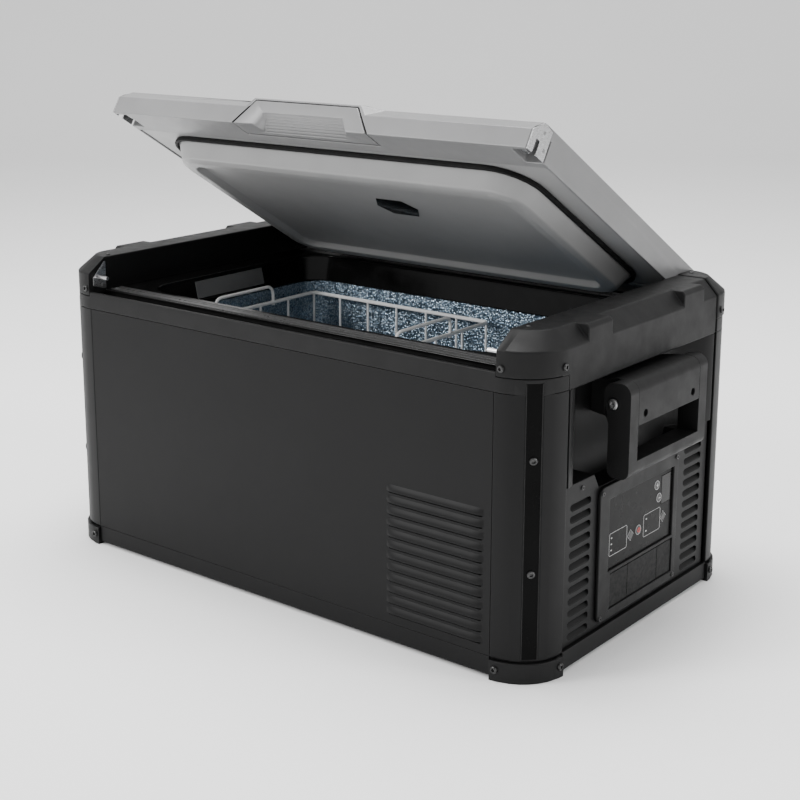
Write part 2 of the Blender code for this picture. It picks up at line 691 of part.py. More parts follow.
def make_fan():
    half = 60.0
    cx, cz = FAN_CENTRE
    outline = rounded_rect((cx - half, cx + half), (cz - half, cz + half), 6, 2)
    frame = prism("fan_frame", outline, *FAN_Y, "y", [arc((cx, cz), FAN_R + 1.5, 0, 360 - 12, 29)],
                  "trim_black")
    motor_y = (FAN_Y[1] - 5, FAN_Y[1])
    join(frame, rod("fan_motor", (cx, motor_y[0], cz), (cx, motor_y[1], cz), 17.0))
    for k in range(4):
        spoke = box("fan_spoke", (15, motor_y[0], -2.5), (FAN_R + 4, motor_y[1], 2.5))
        spoke.location = (cx * MM, 0, cz * MM)
        spoke.rotation_euler = (0, math.radians(45 + 90 * k), 0)
        join(frame, spoke)
    axle = pivot("fan_axle", (cx, 0, cz))
    hub_y = (FAN_Y[0] + 4, motor_y[0] - GAP)
    rotor = rod("fan_rotor", (cx, hub_y[0], cz), (cx, hub_y[1], cz), 16.0, "trim_black")
    middle_y = (hub_y[0] + hub_y[1]) / 2
    for k in range(7):
        blade = box("fan_blade", (12, -1.0, -9), (FAN_R - 1.5, 1.0, 9))
        blade.rotation_mode = "QUATERNION"
        turn = Matrix.Rotation(2 * math.pi * k / 7, 4, "Y") @ Matrix.Rotation(math.radians(38), 4, "X")
        blade.rotation_quaternion = turn.to_quaternion()
        blade.location = (cx * MM, middle_y * MM, cz * MM)
        join(rotor, blade)
    hang(axle, rotor)


def make_electronics():
    board = box("control_board", (336, -66, 90), (337.6, 66, 160), "board_green")
    for y0, z0, y1, z1, x in ((-50, 100, -20, 125, 330), (0, 110, 24, 150, 328), (36, 98, 56, 116, 326)):
        join(board, box("chip", (x, y0, z0), (336.5, y1, z1)))
    supply = box("power_supply", (244, 70, 20), (320, 150, 120), "trim_black")
    for k in range(7):
        cut(supply, box("cooling_slot", (240, 76 + 10 * k, 112), (325, 81 + 10 * k, 125)))
    sockets = box("socket_block", (322, FLAP_EDGES_Y[0] + 1, FLAP_Z[0] + 1),
                  (FLAP_SEAT_X - GAP, FLAP_EDGES_Y[-1] - 1, FLAP_Z[1] - 1), "trim_black")
    middle_z = (FLAP_Z[0] + FLAP_Z[1]) / 2
    y_dc, y_ac, y_usb = [(a + b) / 2 for a, b in zip(FLAP_EDGES_Y, FLAP_EDGES_Y[1:])]
    x0, x1 = 330, FLAP_SEAT_X + 5
    cut(sockets, rod("dc_hole", (x0, y_dc, middle_z), (x1, y_dc, middle_z), 9))
    cut(sockets, box("ac_hole", (x0, y_ac - 12, middle_z - 8), (x1, y_ac + 12, middle_z + 8)))
    cut(sockets, box("usb_hole", (x0, y_usb - 6.5, middle_z - 3), (x1, y_usb + 6.5, middle_z + 3)))


# Control panel -------------------------------------------------------------------------------
def make_control_panel():
    outline = rounded_rect(BEZEL_Y, BEZEL_Z, 9, 3)
    bezel = side_prism("control_bezel", 1, outline, (SIDE_X + GAP, BEZEL_FACE_X), finish="trim_black")
    join(bezel, side_prism("bezel_neck", 1, rounded_rect((BEZEL_Y[0] + 6.5, BEZEL_Y[1] - 6.5),
                                                         (BEZEL_Z[0] + 6.5, BEZEL_Z[1] - 6.5), 5, 3),
                           (SIDE_X - 4, SIDE_X + 1)))
    cut(bezel, box("face_window", (SIDE_X - 10, FACE_Y[0] - GAP, FACE_Z[0] - GAP),
                   (SIDE_X + 10, FACE_Y[1] + GAP, FACE_Z[1] + GAP)))
    cut(bezel, box("flap_window", (SIDE_X - 10, FLAP_EDGES_Y[0] - 0.5, FLAP_Z[0] - 0.5),
                   (SIDE_X + 10, FLAP_EDGES_Y[-1] + 0.5, FLAP_Z[1] + 1.2)))
    face = side_box("control_face", 1, FACE_X, FACE_Y, FACE_Z, "gloss_black")
    (y0, y1), (z0, z1) = (46.0, 66.0), (126.0, 159.0)
    seat_x = (FACE_X[1] - 1.2, FACE_X[1] + 2)
    cut(face, side_box("window_seat", 1, seat_x, (y0 - GAP, y1 + GAP), (z0 - GAP, z1 + GAP)))
    side_box("display_window", 1, (seat_x[0] + GAP, FACE_X[1] + 0.3), (y0, y1), (z0, z1), "gloss_black")
    for name, (y, z) in BUTTONS.items():
        sides = 4 if name in ("button_mode", "button_battery") else 20
        radius = BUTTON_R + (1.2 if sides == 4 else 0)
        cut(face, rod("button_hole", (FACE_X[0] - 5, y, z), (FACE_X[1] + 5, y, z), radius + GAP, sides=sides))
        rod(name, (FACE_X[0] + 0.2, y, z), (FACE_X[1] + 0.8, y, z), radius, "button_grey", sides)


def make_flaps():
    for word, y0, y1 in zip(("dc", "ac", "usb"), FLAP_EDGES_Y, FLAP_EDGES_Y[1:]):
        hinge = pivot("flap_hinge_" + word, (FLAP_X[0] + 1.0, (y0 + y1) / 2, FLAP_Z[1] - 1.5))
        flap = side_box("flap_" + word, 1, FLAP_X, (y0 + GAP, y1 - GAP), (FLAP_Z[0] + GAP, FLAP_Z[1] - GAP),
                        "rubber")
        hang(hinge, flap)


# Carry handles -------------------------------------------------------------------------------
def make_handle(side, word):
    inner_half = HANDLE_HALF_Y - HANDLE_ARM
    round_top = 12.0
    block_profile = [(RECESS_X + GAP, BLOCK_BOTTOM + 6), (HANDLE_FACE_X - 14, BLOCK_BOTTOM),
                     (HANDLE_FACE_X, BLOCK_BOTTOM)]
    block_profile += arc((HANDLE_FACE_X - round_top, HANDLE_TOP - round_top), round_top, 0, 90, 5)
    block_profile += [(HALF_X + 2, HANDLE_TOP), (RECESS_X + GAP, HANDLE_TOP - 6)]
    block = prism("handle_block_" + word, [(x * side, z) for x, z in block_profile], -inner_half + GAP,
                  inner_half - GAP, "y", finish="trim_black")
    for y in (-52, 52):
        well = [(x * side, y, 261) for x in (HANDLE_FACE_X - 10, HANDLE_FACE_X + 5)]
        cut(block, rod("screw_well", *well, 4.2))
    join(block, rod("pivot_stub", (HANDLE_PIVOT_X * side, -HANDLE_HALF_Y - 1.5, HANDLE_PIVOT_Z),
                    (HANDLE_PIVOT_X * side, HANDLE_HALF_Y + 1.5, HANDLE_PIVOT_Z), 5.0))
    hinge = pivot("handle_axis_" + word, (HANDLE_PIVOT_X * side, 0, HANDLE_PIVOT_Z))
    depth_low, depth_high = HALF_X + 2.0, HANDLE_FACE_X
    arm = [(depth_low, HANDLE_BOTTOM + 8)] + arc((depth_low + 8, HANDLE_BOTTOM + 8), 8, 180, 270, 3)[1:]
    arm += arc((depth_high - 9, HANDLE_BOTTOM + 9), 9, -90, 0, 4)
    arm += arc((depth_high - round_top, HANDLE_TOP - round_top), round_top, 0, 90, 5)
    arm += arc((depth_low - 6 + 14, HANDLE_TOP - 14), 14, 90, 180, 5)
    arm += [(depth_low - 6, HANDLE_PIVOT_Z - 12), (depth_low, HANDLE_PIVOT_Z - 20)]
    handle = prism("carry_handle_" + word, [(x * side, z) for x, z in arm], -HANDLE_HALF_Y, HANDLE_HALF_Y,
                   "y", finish="trim_black")
    cut(handle, side_box("grip_gap", side, (depth_low - 20, depth_high + 10), (-inner_half, inner_half),
                         (HANDLE_BOTTOM + 18, HANDLE_TOP + 10)))
    cut(handle, rod("pivot_bore", (HANDLE_PIVOT_X * side, -HANDLE_HALF_Y - 10, HANDLE_PIVOT_Z),
                    (HANDLE_PIVOT_X * side, HANDLE_HALF_Y + 10, HANDLE_PIVOT_Z), 5.3))
    hang(hinge, handle)


# Basket --------------------------------------------------------------------------------------
def make_basket():
    """Basket: a thin-walled open tray that fills the outline of its wires, with two lifting loops."""
    x0, x1, y0, y1 = -TUB_X + 7.5, TUB_STEP_X - 9.5, -TUB_Y + 12.5, TUB_Y - 12.5
    z0, z1 = TUB_FLOOR + 2.5, 276.5
    wall = 1.8

    def ring(inset, z):
        outline = rounded_rect((x0 + inset, x1 - inset), (y0 + inset, y1 - inset), 6.0 - inset, 2)
        return [(x, y, z) for x, y in outline]

    basket = loft("basket", [ring(0.0, z0), ring(0.0, z1), ring(wall, z1), ring(wall, z0 + wall)],
                  "basket_white")
    loop_rise, loop_half, corner = 20.5, 52.0, 8.0
    for x in (x0 + wall / 2, x1 - wall / 2):
        loop = [(x, -loop_half, z1 - 3), (x, -loop_half, z1 + loop_rise - corner),
                (x, -loop_half + corner, z1 + loop_rise), (x, loop_half - corner, z1 + loop_rise),
                (x, loop_half, z1 + loop_rise - corner), (x, loop_half, z1 - 3)]
        join(basket, tube("basket_loop", loop, 2.0, resolution=1))


# Lid -----------------------------------------------------------------------------------------
def lid_profile():
    """Outline of the lid in Y and Z: sloped upper edges and a relieved rear lower edge."""
    return [(-HALF_Y, LID_BOTTOM), (HALF_Y - 12, LID_BOTTOM), (HALF_Y, LID_BOTTOM + 10),
            (HALF_Y, LID_SHOULDER), (LID_SLOPE_Y, LID_TOP), (-LID_SLOPE_Y, LID_TOP), (-HALF_Y, LID_SHOULDER)]


def paddle_outline(grow=0.0):
    """The latch paddle seen from the front, in X and Z."""
    drop = 6 * grow
    low = PADDLE_LOW_HALF + grow + drop * (PADDLE_LOW_HALF - PADDLE_TOP_HALF) / (PADDLE_TOP - LID_BOTTOM)
    return [(-low, LID_BOTTOM - drop), (low, LID_BOTTOM - drop),
            (PADDLE_TOP_HALF + grow, PADDLE_TOP + grow), (-PADDLE_TOP_HALF - grow, PADDLE_TOP + grow)]


def paddle_boss():
    """Raised block round the top of the paddle, filling the lid's sloped front edge."""
    bm = bmesh.new()
    for x, y, z in ((91, -HALF_Y, LID_SHOULDER - 4), (78, -HALF_Y, 362.5), (80, -205, LID_TOP - 0.1),
                    (108, -LID_SLOPE_Y + 6, LID_TOP - 0.1), (108, -LID_SLOPE_Y + 6, LID_SHOULDER - 4)):
        for end in (-1, 1):
            bm.verts.new((x * end * MM, y * MM, z * MM))
    bmesh.ops.convex_hull(bm, input=bm.verts)
    return from_bmesh("paddle_boss", bm)


def make_lid():
    hinge = pivot("lid_hinge", (0, HINGE_Y, HINGE_Z), (-LID_REST_ANGLE, 0, 0))
    room_y = PLUG_Y + 11.8
    shell = prism("lid_shell", lid_profile(), -LID_HALF_X, LID_HALF_X, "x", finish="lid_silver")
    join(shell, paddle_boss())
    cut(shell, box("lid_room", (-LID_HALF_X + LID_WALL, -room_y, LID_BOTTOM - 5),
                   (LID_HALF_X - LID_WALL, room_y, LID_TOP - LID_WALL)))
    cut(shell, prism("paddle_room", paddle_outline(1.0), -HALF_Y - 10, PADDLE_BACK_Y + 3, "y"))
    inner = prism("lid_inner", rounded_rect((-LID_HALF_X + LID_WALL + GAP, LID_HALF_X - LID_WALL - GAP),
                                            (-room_y + GAP, room_y - GAP), 6, 2),
                  LID_BOTTOM + 1.0, LID_BOTTOM + 4.0, finish="plug_grey")

    def loop(half_x, half_y, radius):
        return rounded_rect((-half_x, half_x), (-half_y, half_y), radius, 6)

    def ring(inset, radius, z):
        return [(x, y, z) for x, y in loop(PLUG_X - inset, PLUG_Y - inset, radius)]

    join(inner, loft("plug", [ring(17, 30, PLUG_BOTTOM), ring(10, 36, PLUG_BOTTOM + 3),
                              ring(6, 40, PLUG_BOTTOM + 11), ring(0, 44, LID_BOTTOM - 2),
                              ring(0, 44, LID_BOTTOM + 2)]))
    cut(inner, loft("plug_hollow", [ring(28, 20, PLUG_BOTTOM - 2), ring(34, 16, PLUG_BOTTOM + 7)]))
    cut(inner, loft("plug_back", [ring(12, 34, PLUG_BOTTOM + 12), ring(12, 34, LID_BOTTOM + 10)]))
    inside, wide = 1.0, 4.4
    outside = inside + wide
    gasket = prism("lid_gasket", loop(PLUG_X + outside, PLUG_Y + outside, 44 + outside), LAND_TOP + GAP,
                   LID_BOTTOM + 1.0 - GAP, holes=[loop(PLUG_X + inside, PLUG_Y + inside, 44 + inside)],
                   finish="seal_black")
    pieces = [shell, inner, gasket]
    for word, side in SIDES.items():
        pieces.append(make_lid_corner(shell, side, word))
    hang(hinge, *pieces)
    make_latch(hinge)


def corner_plate_outline(grow=0.0):
    front, back, low = -HALF_Y + 0.4 - 4 * grow, -178.8 + grow, LID_BOTTOM - 4 * grow
    return [(front, low), (front, LID_SHOULDER + grow), (-LID_SLOPE_Y, LID_TOP - 0.4 + 3 * grow),
            (back, LID_TOP - 2.5 + grow), (back, low)]


def make_lid_corner(shell, side, word):
    """Corner plate on the lid's end, with the slot that comes down over the catch pin."""
    slot = (CATCH_Y - 3.6, CATCH_Y + 3.6)
    plate = side_prism("lid_corner_" + word, side, corner_plate_outline(), (LID_HALF_X - 1.7, LID_HALF_X),
                       finish="steel")
    cut(shell, side_prism("plate_seat", side, corner_plate_outline(GAP), (LID_HALF_X - 2.0, LID_HALF_X + 2)))
    cut(plate, side_box("plate_slot", side, (LID_HALF_X - 8, LID_HALF_X + 8), slot,
                        (LID_BOTTOM - 5, CATCH_Z + 3.6)))
    cut(shell, side_box("shell_slot", side, (CATCH_X - 12, LID_HALF_X + 8), (slot[0] - 4.4, -176.0),
                        (LID_BOTTOM - 5, CATCH_Z + 13)))
    bore = [(x * side, HINGE_Y, HINGE_Z) for x in (CATCH_X - 4.5, LID_HALF_X + 5)]
    cut(shell, rod("hinge_bore", *bore, HINGE_PIN_R + GAP + 0.1))
    return plate


def make_latch(lid):
    """The paddle in the lid's front edge and the two hooks that it lets go."""
    axis_at = Matrix.Translation(-lid.location)
    paddle_axis = pivot("latch_axis", (0, *PADDLE_AXIS))
    face_y = -HALF_Y - 0.4
    profile = [(face_y, LID_BOTTOM), (face_y, PADDLE_TOP), (PADDLE_BACK_Y, PADDLE_TOP),
               (PADDLE_BACK_Y, LID_BOTTOM)]
    paddle = prism("latch_paddle", profile, -PADDLE_LOW_HALF, PADDLE_LOW_HALF, "x", finish="lid_silver")
    overlap(paddle, prism("paddle_shape", paddle_outline(), -HALF_Y - 10, -170, "y"))
    low, top, mouth_y, back_y = 327.0, 345.5, face_y - 1, face_y + 2
    mouth = [(-70, mouth_y, low), (72, mouth_y, low), (60, mouth_y, top), (-58, mouth_y, top)]
    back = [(-62, -191, low), (61, -191, low), (58, back_y, top - 0.5), (-56, back_y, top - 0.5)]
    cut(paddle, loft("finger_scoop", [mouth, back]))
    hang(paddle_axis, paddle)
    paddle_axis.parent = lid
    paddle_axis.matrix_parent_inverse = axis_at
    for word, side in SIDES.items():
        axis = pivot("hook_axis_" + word, (0, *HOOK_AXIS))
        outline = [(-181, 347), (-181, 353), (-187, 354), (-192, 346), (-193, 338.6), (-203.5, 338.6),
                   (-205, 335.5), (-202, 333.5), (-190, 333.5), (-186, 340)]
        hook = side_prism("latch_hook_" + word, side, outline, (CATCH_X - 6, CATCH_X - 1), finish="steel")
        hang(axis, hook)
        axis.parent = lid
        axis.matrix_parent_inverse = axis_at


# The whole object ----------------------------------------------------------------------------
clear_scene()
PARTS = collection("compressor_cooler_fridge")
TOOLS = collection("cutters")

make_base()
make_corners()
make_front_and_rear()
make_top_rails()
for end_word, end_side in SIDES.items():
    make_end_panel(end_side, end_word)
    make_end_cap(end_side, end_word)
    make_striker(end_side, end_word)
    make_handle(end_side, end_word)
make_collar()
make_tub()
make_foam()
make_inner_plate()
make_evaporator()
make_machinery()
make_fan()
make_electronics()
make_control_panel()
make_flaps()
make_basket()
make_lid()
for member in list(PARTS.objects) + list(TOOLS.objects):
    if member.parent is None:
        member.location.z -= FOOT_BOTTOM * MM
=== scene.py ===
"""Looks for the portable cooler fridge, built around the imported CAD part."""
import json
import math

import bmesh
import bpy
import numpy as np
from mathutils import Matrix, Vector

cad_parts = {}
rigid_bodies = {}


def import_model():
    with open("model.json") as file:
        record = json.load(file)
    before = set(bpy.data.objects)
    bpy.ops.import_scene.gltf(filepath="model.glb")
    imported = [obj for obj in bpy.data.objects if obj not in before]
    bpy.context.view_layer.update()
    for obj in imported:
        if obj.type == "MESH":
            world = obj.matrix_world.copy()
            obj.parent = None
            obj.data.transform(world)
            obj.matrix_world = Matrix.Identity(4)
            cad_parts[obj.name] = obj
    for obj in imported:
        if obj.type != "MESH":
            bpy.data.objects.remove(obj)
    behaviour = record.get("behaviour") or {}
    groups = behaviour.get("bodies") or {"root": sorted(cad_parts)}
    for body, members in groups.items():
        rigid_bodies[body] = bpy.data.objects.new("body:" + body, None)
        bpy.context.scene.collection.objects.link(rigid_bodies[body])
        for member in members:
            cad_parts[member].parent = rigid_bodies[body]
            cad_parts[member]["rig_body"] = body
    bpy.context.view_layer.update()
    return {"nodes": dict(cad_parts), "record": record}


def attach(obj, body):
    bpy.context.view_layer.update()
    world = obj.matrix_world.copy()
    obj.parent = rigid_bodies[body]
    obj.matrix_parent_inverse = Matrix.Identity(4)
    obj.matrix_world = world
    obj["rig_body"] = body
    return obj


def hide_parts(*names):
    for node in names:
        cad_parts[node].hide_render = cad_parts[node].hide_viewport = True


# Lengths are millimetres in the CAD source's frame, whose heights start LIFT above the floor
MM = 0.001
LIFT = 3.0
HALF_X, HALF_Y = 355.0, 212.5                       # the body over its end caps and its panels
CORNER_X, CORNER_Y, CORNER_R = 303.0, 160.5, 52.0   # centre and radius of its upright corners
FOOT_X, FOOT_Y = 358.0, 215.5
FOOT_SCREW_Z, CAP_SCREW_Z = 10.0, 329.0
CAP_TOP, CAP_INNER_X = 365.0, 303.3
LAND_TOP = 325.0
HINGE_Y, HINGE_Z = 190.0, 349.2
LID_ANGLE = 31.2                                    # how far the lid is stored open, degrees
LID_HALF_X, LID_BOTTOM, LID_SHOULDER = 302.7, 330.0, 351.5
PANEL_FACE = 352.6                                  # front of the control panel's film
KEY_FACE = 353.38                                   # front of its keys
CAMERA_DIP, CAMERA_TURN = 13.034, 38.752            # degrees
FLOOR_TURN = 38.75
BOTH = (-1, 1)
CORNER_SIGNS = [(sx, sy) for sx in BOTH for sy in BOTH]

# Camera, before anything else -----------------------------------------------------------------
camera = bpy.data.objects.new("camera", bpy.data.cameras.new("camera"))
bpy.context.scene.collection.objects.link(camera)
bpy.context.scene.camera = camera
camera.data.lens = 68.32
camera.data.sensor_width = 36.0
camera.data.shift_x = 0.0161
camera.data.shift_y = -0.10
camera.data.clip_start = 0.05
camera.data.clip_end = 50.0
camera.location = (1.1238, -1.4058, 0.7149)
camera.rotation_euler = (math.radians(90 - CAMERA_DIP), 0.0, math.radians(CAMERA_TURN))

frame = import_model()
nodes = frame["nodes"]
SLOT_OF = {s["node"]: s["material_slot"] for s in frame["record"]["subparts"]}


# Node material helpers ------------------------------------------------------------------------
class Shader:
    """A Principled material with short calls for its procedural detail."""

    def __init__(self, name, colour, roughness, metallic=0.0, coat=0.0, coat_roughness=0.1, specular=0.5):
        self.material = bpy.data.materials.new(name)
        self.material.use_nodes = True
        self.tree = self.material.node_tree
        self.shader = self.tree.nodes["Principled BSDF"]
        self.set("Base Color", (*colour, 1.0))
        self.set("Roughness", roughness)
        self.set("Metallic", metallic)
        self.set("Coat Weight", coat)
        self.set("Coat Roughness", coat_roughness)
        self.set("Specular IOR Level", specular)
        self.material.diffuse_color = (*colour, 1.0)
        self.height = None
        self.coordinates = None

    def set(self, socket, value):
        self.shader.inputs[socket].default_value = value

    def node(self, kind, **values):
        made = self.tree.nodes.new(kind)
        for key, value in values.items():
            if key in made.inputs:
                made.inputs[key].default_value = value
            else:
                setattr(made, key, value)
        return made

    def link(self, a, b):
        self.tree.links.new(a, b)

    def place(self, stretch=(1.0, 1.0, 1.0)):
        """Object coordinates in metres, stretched along the axes."""
        if self.coordinates is None:
            self.coordinates = self.node("ShaderNodeTexCoord").outputs["Object"]
        if stretch == (1.0, 1.0, 1.0):
            return self.coordinates
        mapping = self.node("ShaderNodeMapping")
        mapping.inputs["Scale"].default_value = stretch
        self.link(self.coordinates, mapping.inputs["Vector"])
        return mapping.outputs["Vector"]

    def noise(self, scale, detail=3.0, roughness=0.55, stretch=(1.0, 1.0, 1.0)):
        made = self.node("ShaderNodeTexNoise", Scale=scale, Detail=detail, Roughness=roughness)
        self.link(self.place(stretch), made.inputs["Vector"])
        return made.outputs["Fac"]

    def cells(self, scale, feature="F1", jitter=1.0, wobble=0.0):
        made = self.node("ShaderNodeTexVoronoi", feature=feature, Scale=scale, Randomness=jitter)
        vector = self.place()
        if wobble:
            noise = self.node("ShaderNodeTexNoise", Scale=scale * 0.8, Detail=2.0)
            self.link(vector, noise.inputs["Vector"])
            mix = self.node("ShaderNodeVectorMath", operation="MULTIPLY_ADD")
            self.link(noise.outputs["Color"], mix.inputs[0])
            mix.inputs[1].default_value = (wobble, wobble, wobble)
            self.link(vector, mix.inputs[2])
            vector = mix.outputs["Vector"]
        self.link(vector, made.inputs["Vector"])
        return made.outputs["Distance"]

    def ramp(self, value, stops):
        made = self.node("ShaderNodeValToRGB")
        elements = made.color_ramp.elements
        while len(elements) > len(stops):
            elements.remove(elements[-1])
        while len(elements) < len(stops):
            elements.new(1.0)
        for element, (place, colour) in zip(elements, stops):
            element.position = place
            element.color = (*colour, 1.0) if len(colour) == 3 else colour
        self.link(value, made.inputs["Fac"])
        return made.outputs["Color"]

    def grey_ramp(self, value, low, high, start=0.3, end=0.7):
        made = self.node("ShaderNodeMapRange")
        made.inputs["From Min"].default_value = start
        made.inputs["From Max"].default_value = end
        made.inputs["To Min"].default_value = low
        made.inputs["To Max"].default_value = high
        self.link(value, made.inputs["Value"])
        return made.outputs["Result"]

    def vary_colour(self, value, dark, light, start=0.3, end=0.7):
        """Base colour drifts between two shades."""
        out = self.ramp(value, [(start, dark), (end, light)])
        self.link(out, self.shader.inputs["Base Color"])
        self.base_out = out
        return self

    def vary_roughness(self, value, low, high, start=0.3, end=0.7):
        self.link(self.grey_ramp(value, low, high, start, end), self.shader.inputs["Roughness"])
        return self

    def paint_edge_highlight(self, colour, radius=0.0012, amount=0.6):
        """Painted highlight: lighter paint where the surface bends, from the difference between bevelled and
        true normals, broken up by noise.
        """
        bevel = self.node("ShaderNodeBevel", samples=4)
        bevel.inputs["Radius"].default_value = radius
        true = self.node("ShaderNodeNewGeometry")
        dot = self.node("ShaderNodeVectorMath", operation="DOT_PRODUCT")
        self.link(bevel.outputs["Normal"], dot.inputs[0])
        self.link(true.outputs["Normal"], dot.inputs[1])
        mask = self.node("ShaderNodeMapRange")
        mask.inputs["From Min"].default_value = 0.995
        mask.inputs["From Max"].default_value = 0.86
        mask.inputs["To Min"].default_value = 0.0
        mask.inputs["To Max"].default_value = amount
        self.link(dot.outputs["Value"], mask.inputs["Value"])
        highlight_breakup = self.grey_ramp(self.noise(160.0, 4.0), 0.35, 1.0, 0.35, 0.65)
        both = self.node("ShaderNodeMath", operation="MULTIPLY")
        self.link(mask.outputs["Result"], both.inputs[0])
        self.link(highlight_breakup, both.inputs[1])
        mix = self.node("ShaderNodeMix", data_type="RGBA")
        self.link(both.outputs["Value"], mix.inputs["Factor"])
        self.link(self.base_out, mix.inputs["A"])
        mix.inputs["B"].default_value = (*colour, 1.0)
        self.link(mix.outputs["Result"], self.shader.inputs["Base Color"])
        return self

    def relief(self, value, strength, distance):
        """Adds a layer of bump, strength 0-1 and depth in metres."""
        bump = self.node("ShaderNodeBump")
        bump.inputs["Strength"].default_value = strength
        bump.inputs["Distance"].default_value = distance
        self.link(value, bump.inputs["Height"])
        if self.height is not None:
            self.link(self.height, bump.inputs["Normal"])
        self.height = bump.outputs["Normal"]
        self.link(self.height, self.shader.inputs["Normal"])
        return self


def grey(value, tint=0.0):
    return (value, value, value * (1.0 + tint))


def make_materials():
    made = {}

    s = Shader("powder_coat_charcoal", grey(0.0050), 0.46, specular=0.15)
    s.vary_colour(s.noise(9.0, 5.0), grey(0.0047, 0.03), grey(0.0053, 0.03))
    # lighter edges in grey(0.03): painted highlight
    s.paint_edge_highlight(grey(0.03), 0.0010, 0.5)
    s.vary_roughness(s.noise(60.0, 5.0), 0.45, 0.48)
    s.relief(s.noise(1500.0, 2.0), 0.10, 0.00012)
    made["body_black"] = s.material

    s = Shader("moulded_plastic_charcoal", grey(0.0065), 0.5, specular=0.17)
    s.vary_colour(s.noise(12.0, 4.0), grey(0.0054, 0.02), grey(0.0078, 0.02))
    # lighter edges in grey(0.04): painted highlight
    s.paint_edge_highlight(grey(0.04), 0.0012, 0.6)
    s.vary_roughness(s.noise(45.0, 4.0), 0.42, 0.56)
    s.relief(s.cells(1300.0, jitter=1.0), 0.16, 0.00014)
    made["trim_black"] = s.material

    s = Shader("gloss_black_plastic", grey(0.0025), 0.14, specular=0.16)
    s.vary_colour(s.noise(20.0, 3.0), grey(0.0024), grey(0.0040))
    s.vary_roughness(s.noise(55.0, 6.0, 0.65), 0.10, 0.20)
    s.relief(s.noise(140.0, 2.0), 0.03, 0.0001)
    made["gloss_black"] = s.material

    s = Shader("panel_film_black", grey(0.0025), 0.30, specular=0.07)
    s.vary_colour(s.noise(30.0, 3.0), grey(0.0020), grey(0.0032))
    s.vary_roughness(s.noise(80.0, 5.0, 0.6), 0.24, 0.36)
    s.relief(s.noise(1200.0, 2.0), 0.05, 0.00005)
    made["panel_film"] = s.material

    # darker than the body's black: a glossy insert, darkened further as painted shade in the corner groove
    s = Shader("groove_insert_and_shade_black", grey(0.0016), 0.22, specular=0.05)
    s.vary_colour(s.noise(25.0, 3.0), grey(0.0012), grey(0.0022))
    s.vary_roughness(s.noise(70.0, 5.0, 0.6), 0.16, 0.30)
    s.relief(s.noise(160.0, 2.0), 0.04, 0.0001)
    made["insert_and_groove_shade_black"] = s.material

    s = Shader("land_strip_satin", grey(0.060), 0.28, metallic=0.4)
    s.vary_colour(s.noise(18.0, 4.0, 0.5, (0.3, 1.0, 1.0)), grey(0.055), grey(0.064))
    s.vary_roughness(s.noise(90.0, 4.0), 0.27, 0.30)
    s.relief(s.noise(800.0, 2.0), 0.05, 0.00006)
    made["strip_satin"] = s.material

    s = Shader("lid_satin_silver", grey(0.19), 0.38, metallic=0.15)
    s.vary_colour(s.noise(7.0, 5.0), grey(0.175, 0.01), grey(0.205, 0.01))
    # lighter edges in grey(0.40): painted highlight
    s.paint_edge_highlight(grey(0.40), 0.0012, 0.4)
    s.vary_roughness(s.noise(40.0, 5.0), 0.31, 0.42)
    s.relief(s.noise(2200.0, 1.0), 0.07, 0.0001)
    made["lid_silver"] = s.material

    s = Shader("plug_smooth_grey", grey(0.25), 0.34)
    s.vary_colour(s.noise(6.0, 4.0), grey(0.235), grey(0.265))
    # lighter edges in grey(0.42): painted highlight
    s.paint_edge_highlight(grey(0.42), 0.0016, 0.3)
    s.vary_roughness(s.noise(24.0, 5.0), 0.28, 0.40)
    s.relief(s.noise(700.0, 2.0), 0.04, 0.0001)
    made["plug_grey"] = s.material

    s = Shader("seal_rubber", grey(0.005), 0.6, specular=0.12)
    s.vary_colour(s.noise(60.0, 4.0), grey(0.004), grey(0.007))
    s.vary_roughness(s.noise(200.0, 3.0), 0.5, 0.7)
    s.relief(s.noise(1800.0, 2.0), 0.15, 0.0001)
    made["seal_black"] = s.material

    s = Shader("stucco_aluminium", (0.36, 0.44, 0.51), 0.26, metallic=0.95)
    pebble = s.cells(390.0, "F1", 1.0, 0.0012)
    # colour follows the pebble pattern of the bump: the light tone is painted sparkle highlight, the dark
    # tone painted shade between pebbles
    s.vary_colour(pebble, (0.50, 0.58, 0.65), (0.17, 0.24, 0.31), 0.12, 0.62)
    s.vary_roughness(s.noise(90.0, 3.0), 0.22, 0.36)
    s.relief(pebble, 1.0, 0.0010)
    s.relief(s.noise(900.0, 2.0), 0.4, 0.0003)
    made["liner_aluminium"] = s.material

    s = Shader("brushed_steel", grey(0.55, 0.02), 0.30, metallic=1.0)
    streak = s.noise(260.0, 4.0, 0.6, (0.08, 1.0, 6.0))
    s.vary_colour(streak, grey(0.42), grey(0.66, 0.02))
    s.vary_roughness(streak, 0.22, 0.40)
    s.relief(streak, 0.10, 0.00008)
    made["steel"] = s.material

    s = Shader("satin_plate", grey(0.30), 0.36, metallic=0.75)
    s.vary_colour(s.noise(16.0, 3.0, 0.5, (1.0, 0.3, 2.0)), grey(0.27), grey(0.33))
    s.vary_roughness(s.noise(120.0, 4.0), 0.30, 0.42)
    s.relief(s.noise(900.0, 2.0, 0.5, (1.0, 0.1, 3.0)), 0.05, 0.00005)
    made["plate_satin"] = s.material

    s = Shader("zinc_screw", grey(0.35), 0.32, metallic=1.0)
    s.vary_colour(s.noise(700.0, 3.0), grey(0.22), grey(0.42))
    s.vary_roughness(s.noise(900.0, 3.0), 0.24, 0.42)
    s.relief(s.noise(2500.0, 2.0), 0.12, 0.00006)
    made["screw_steel"] = s.material

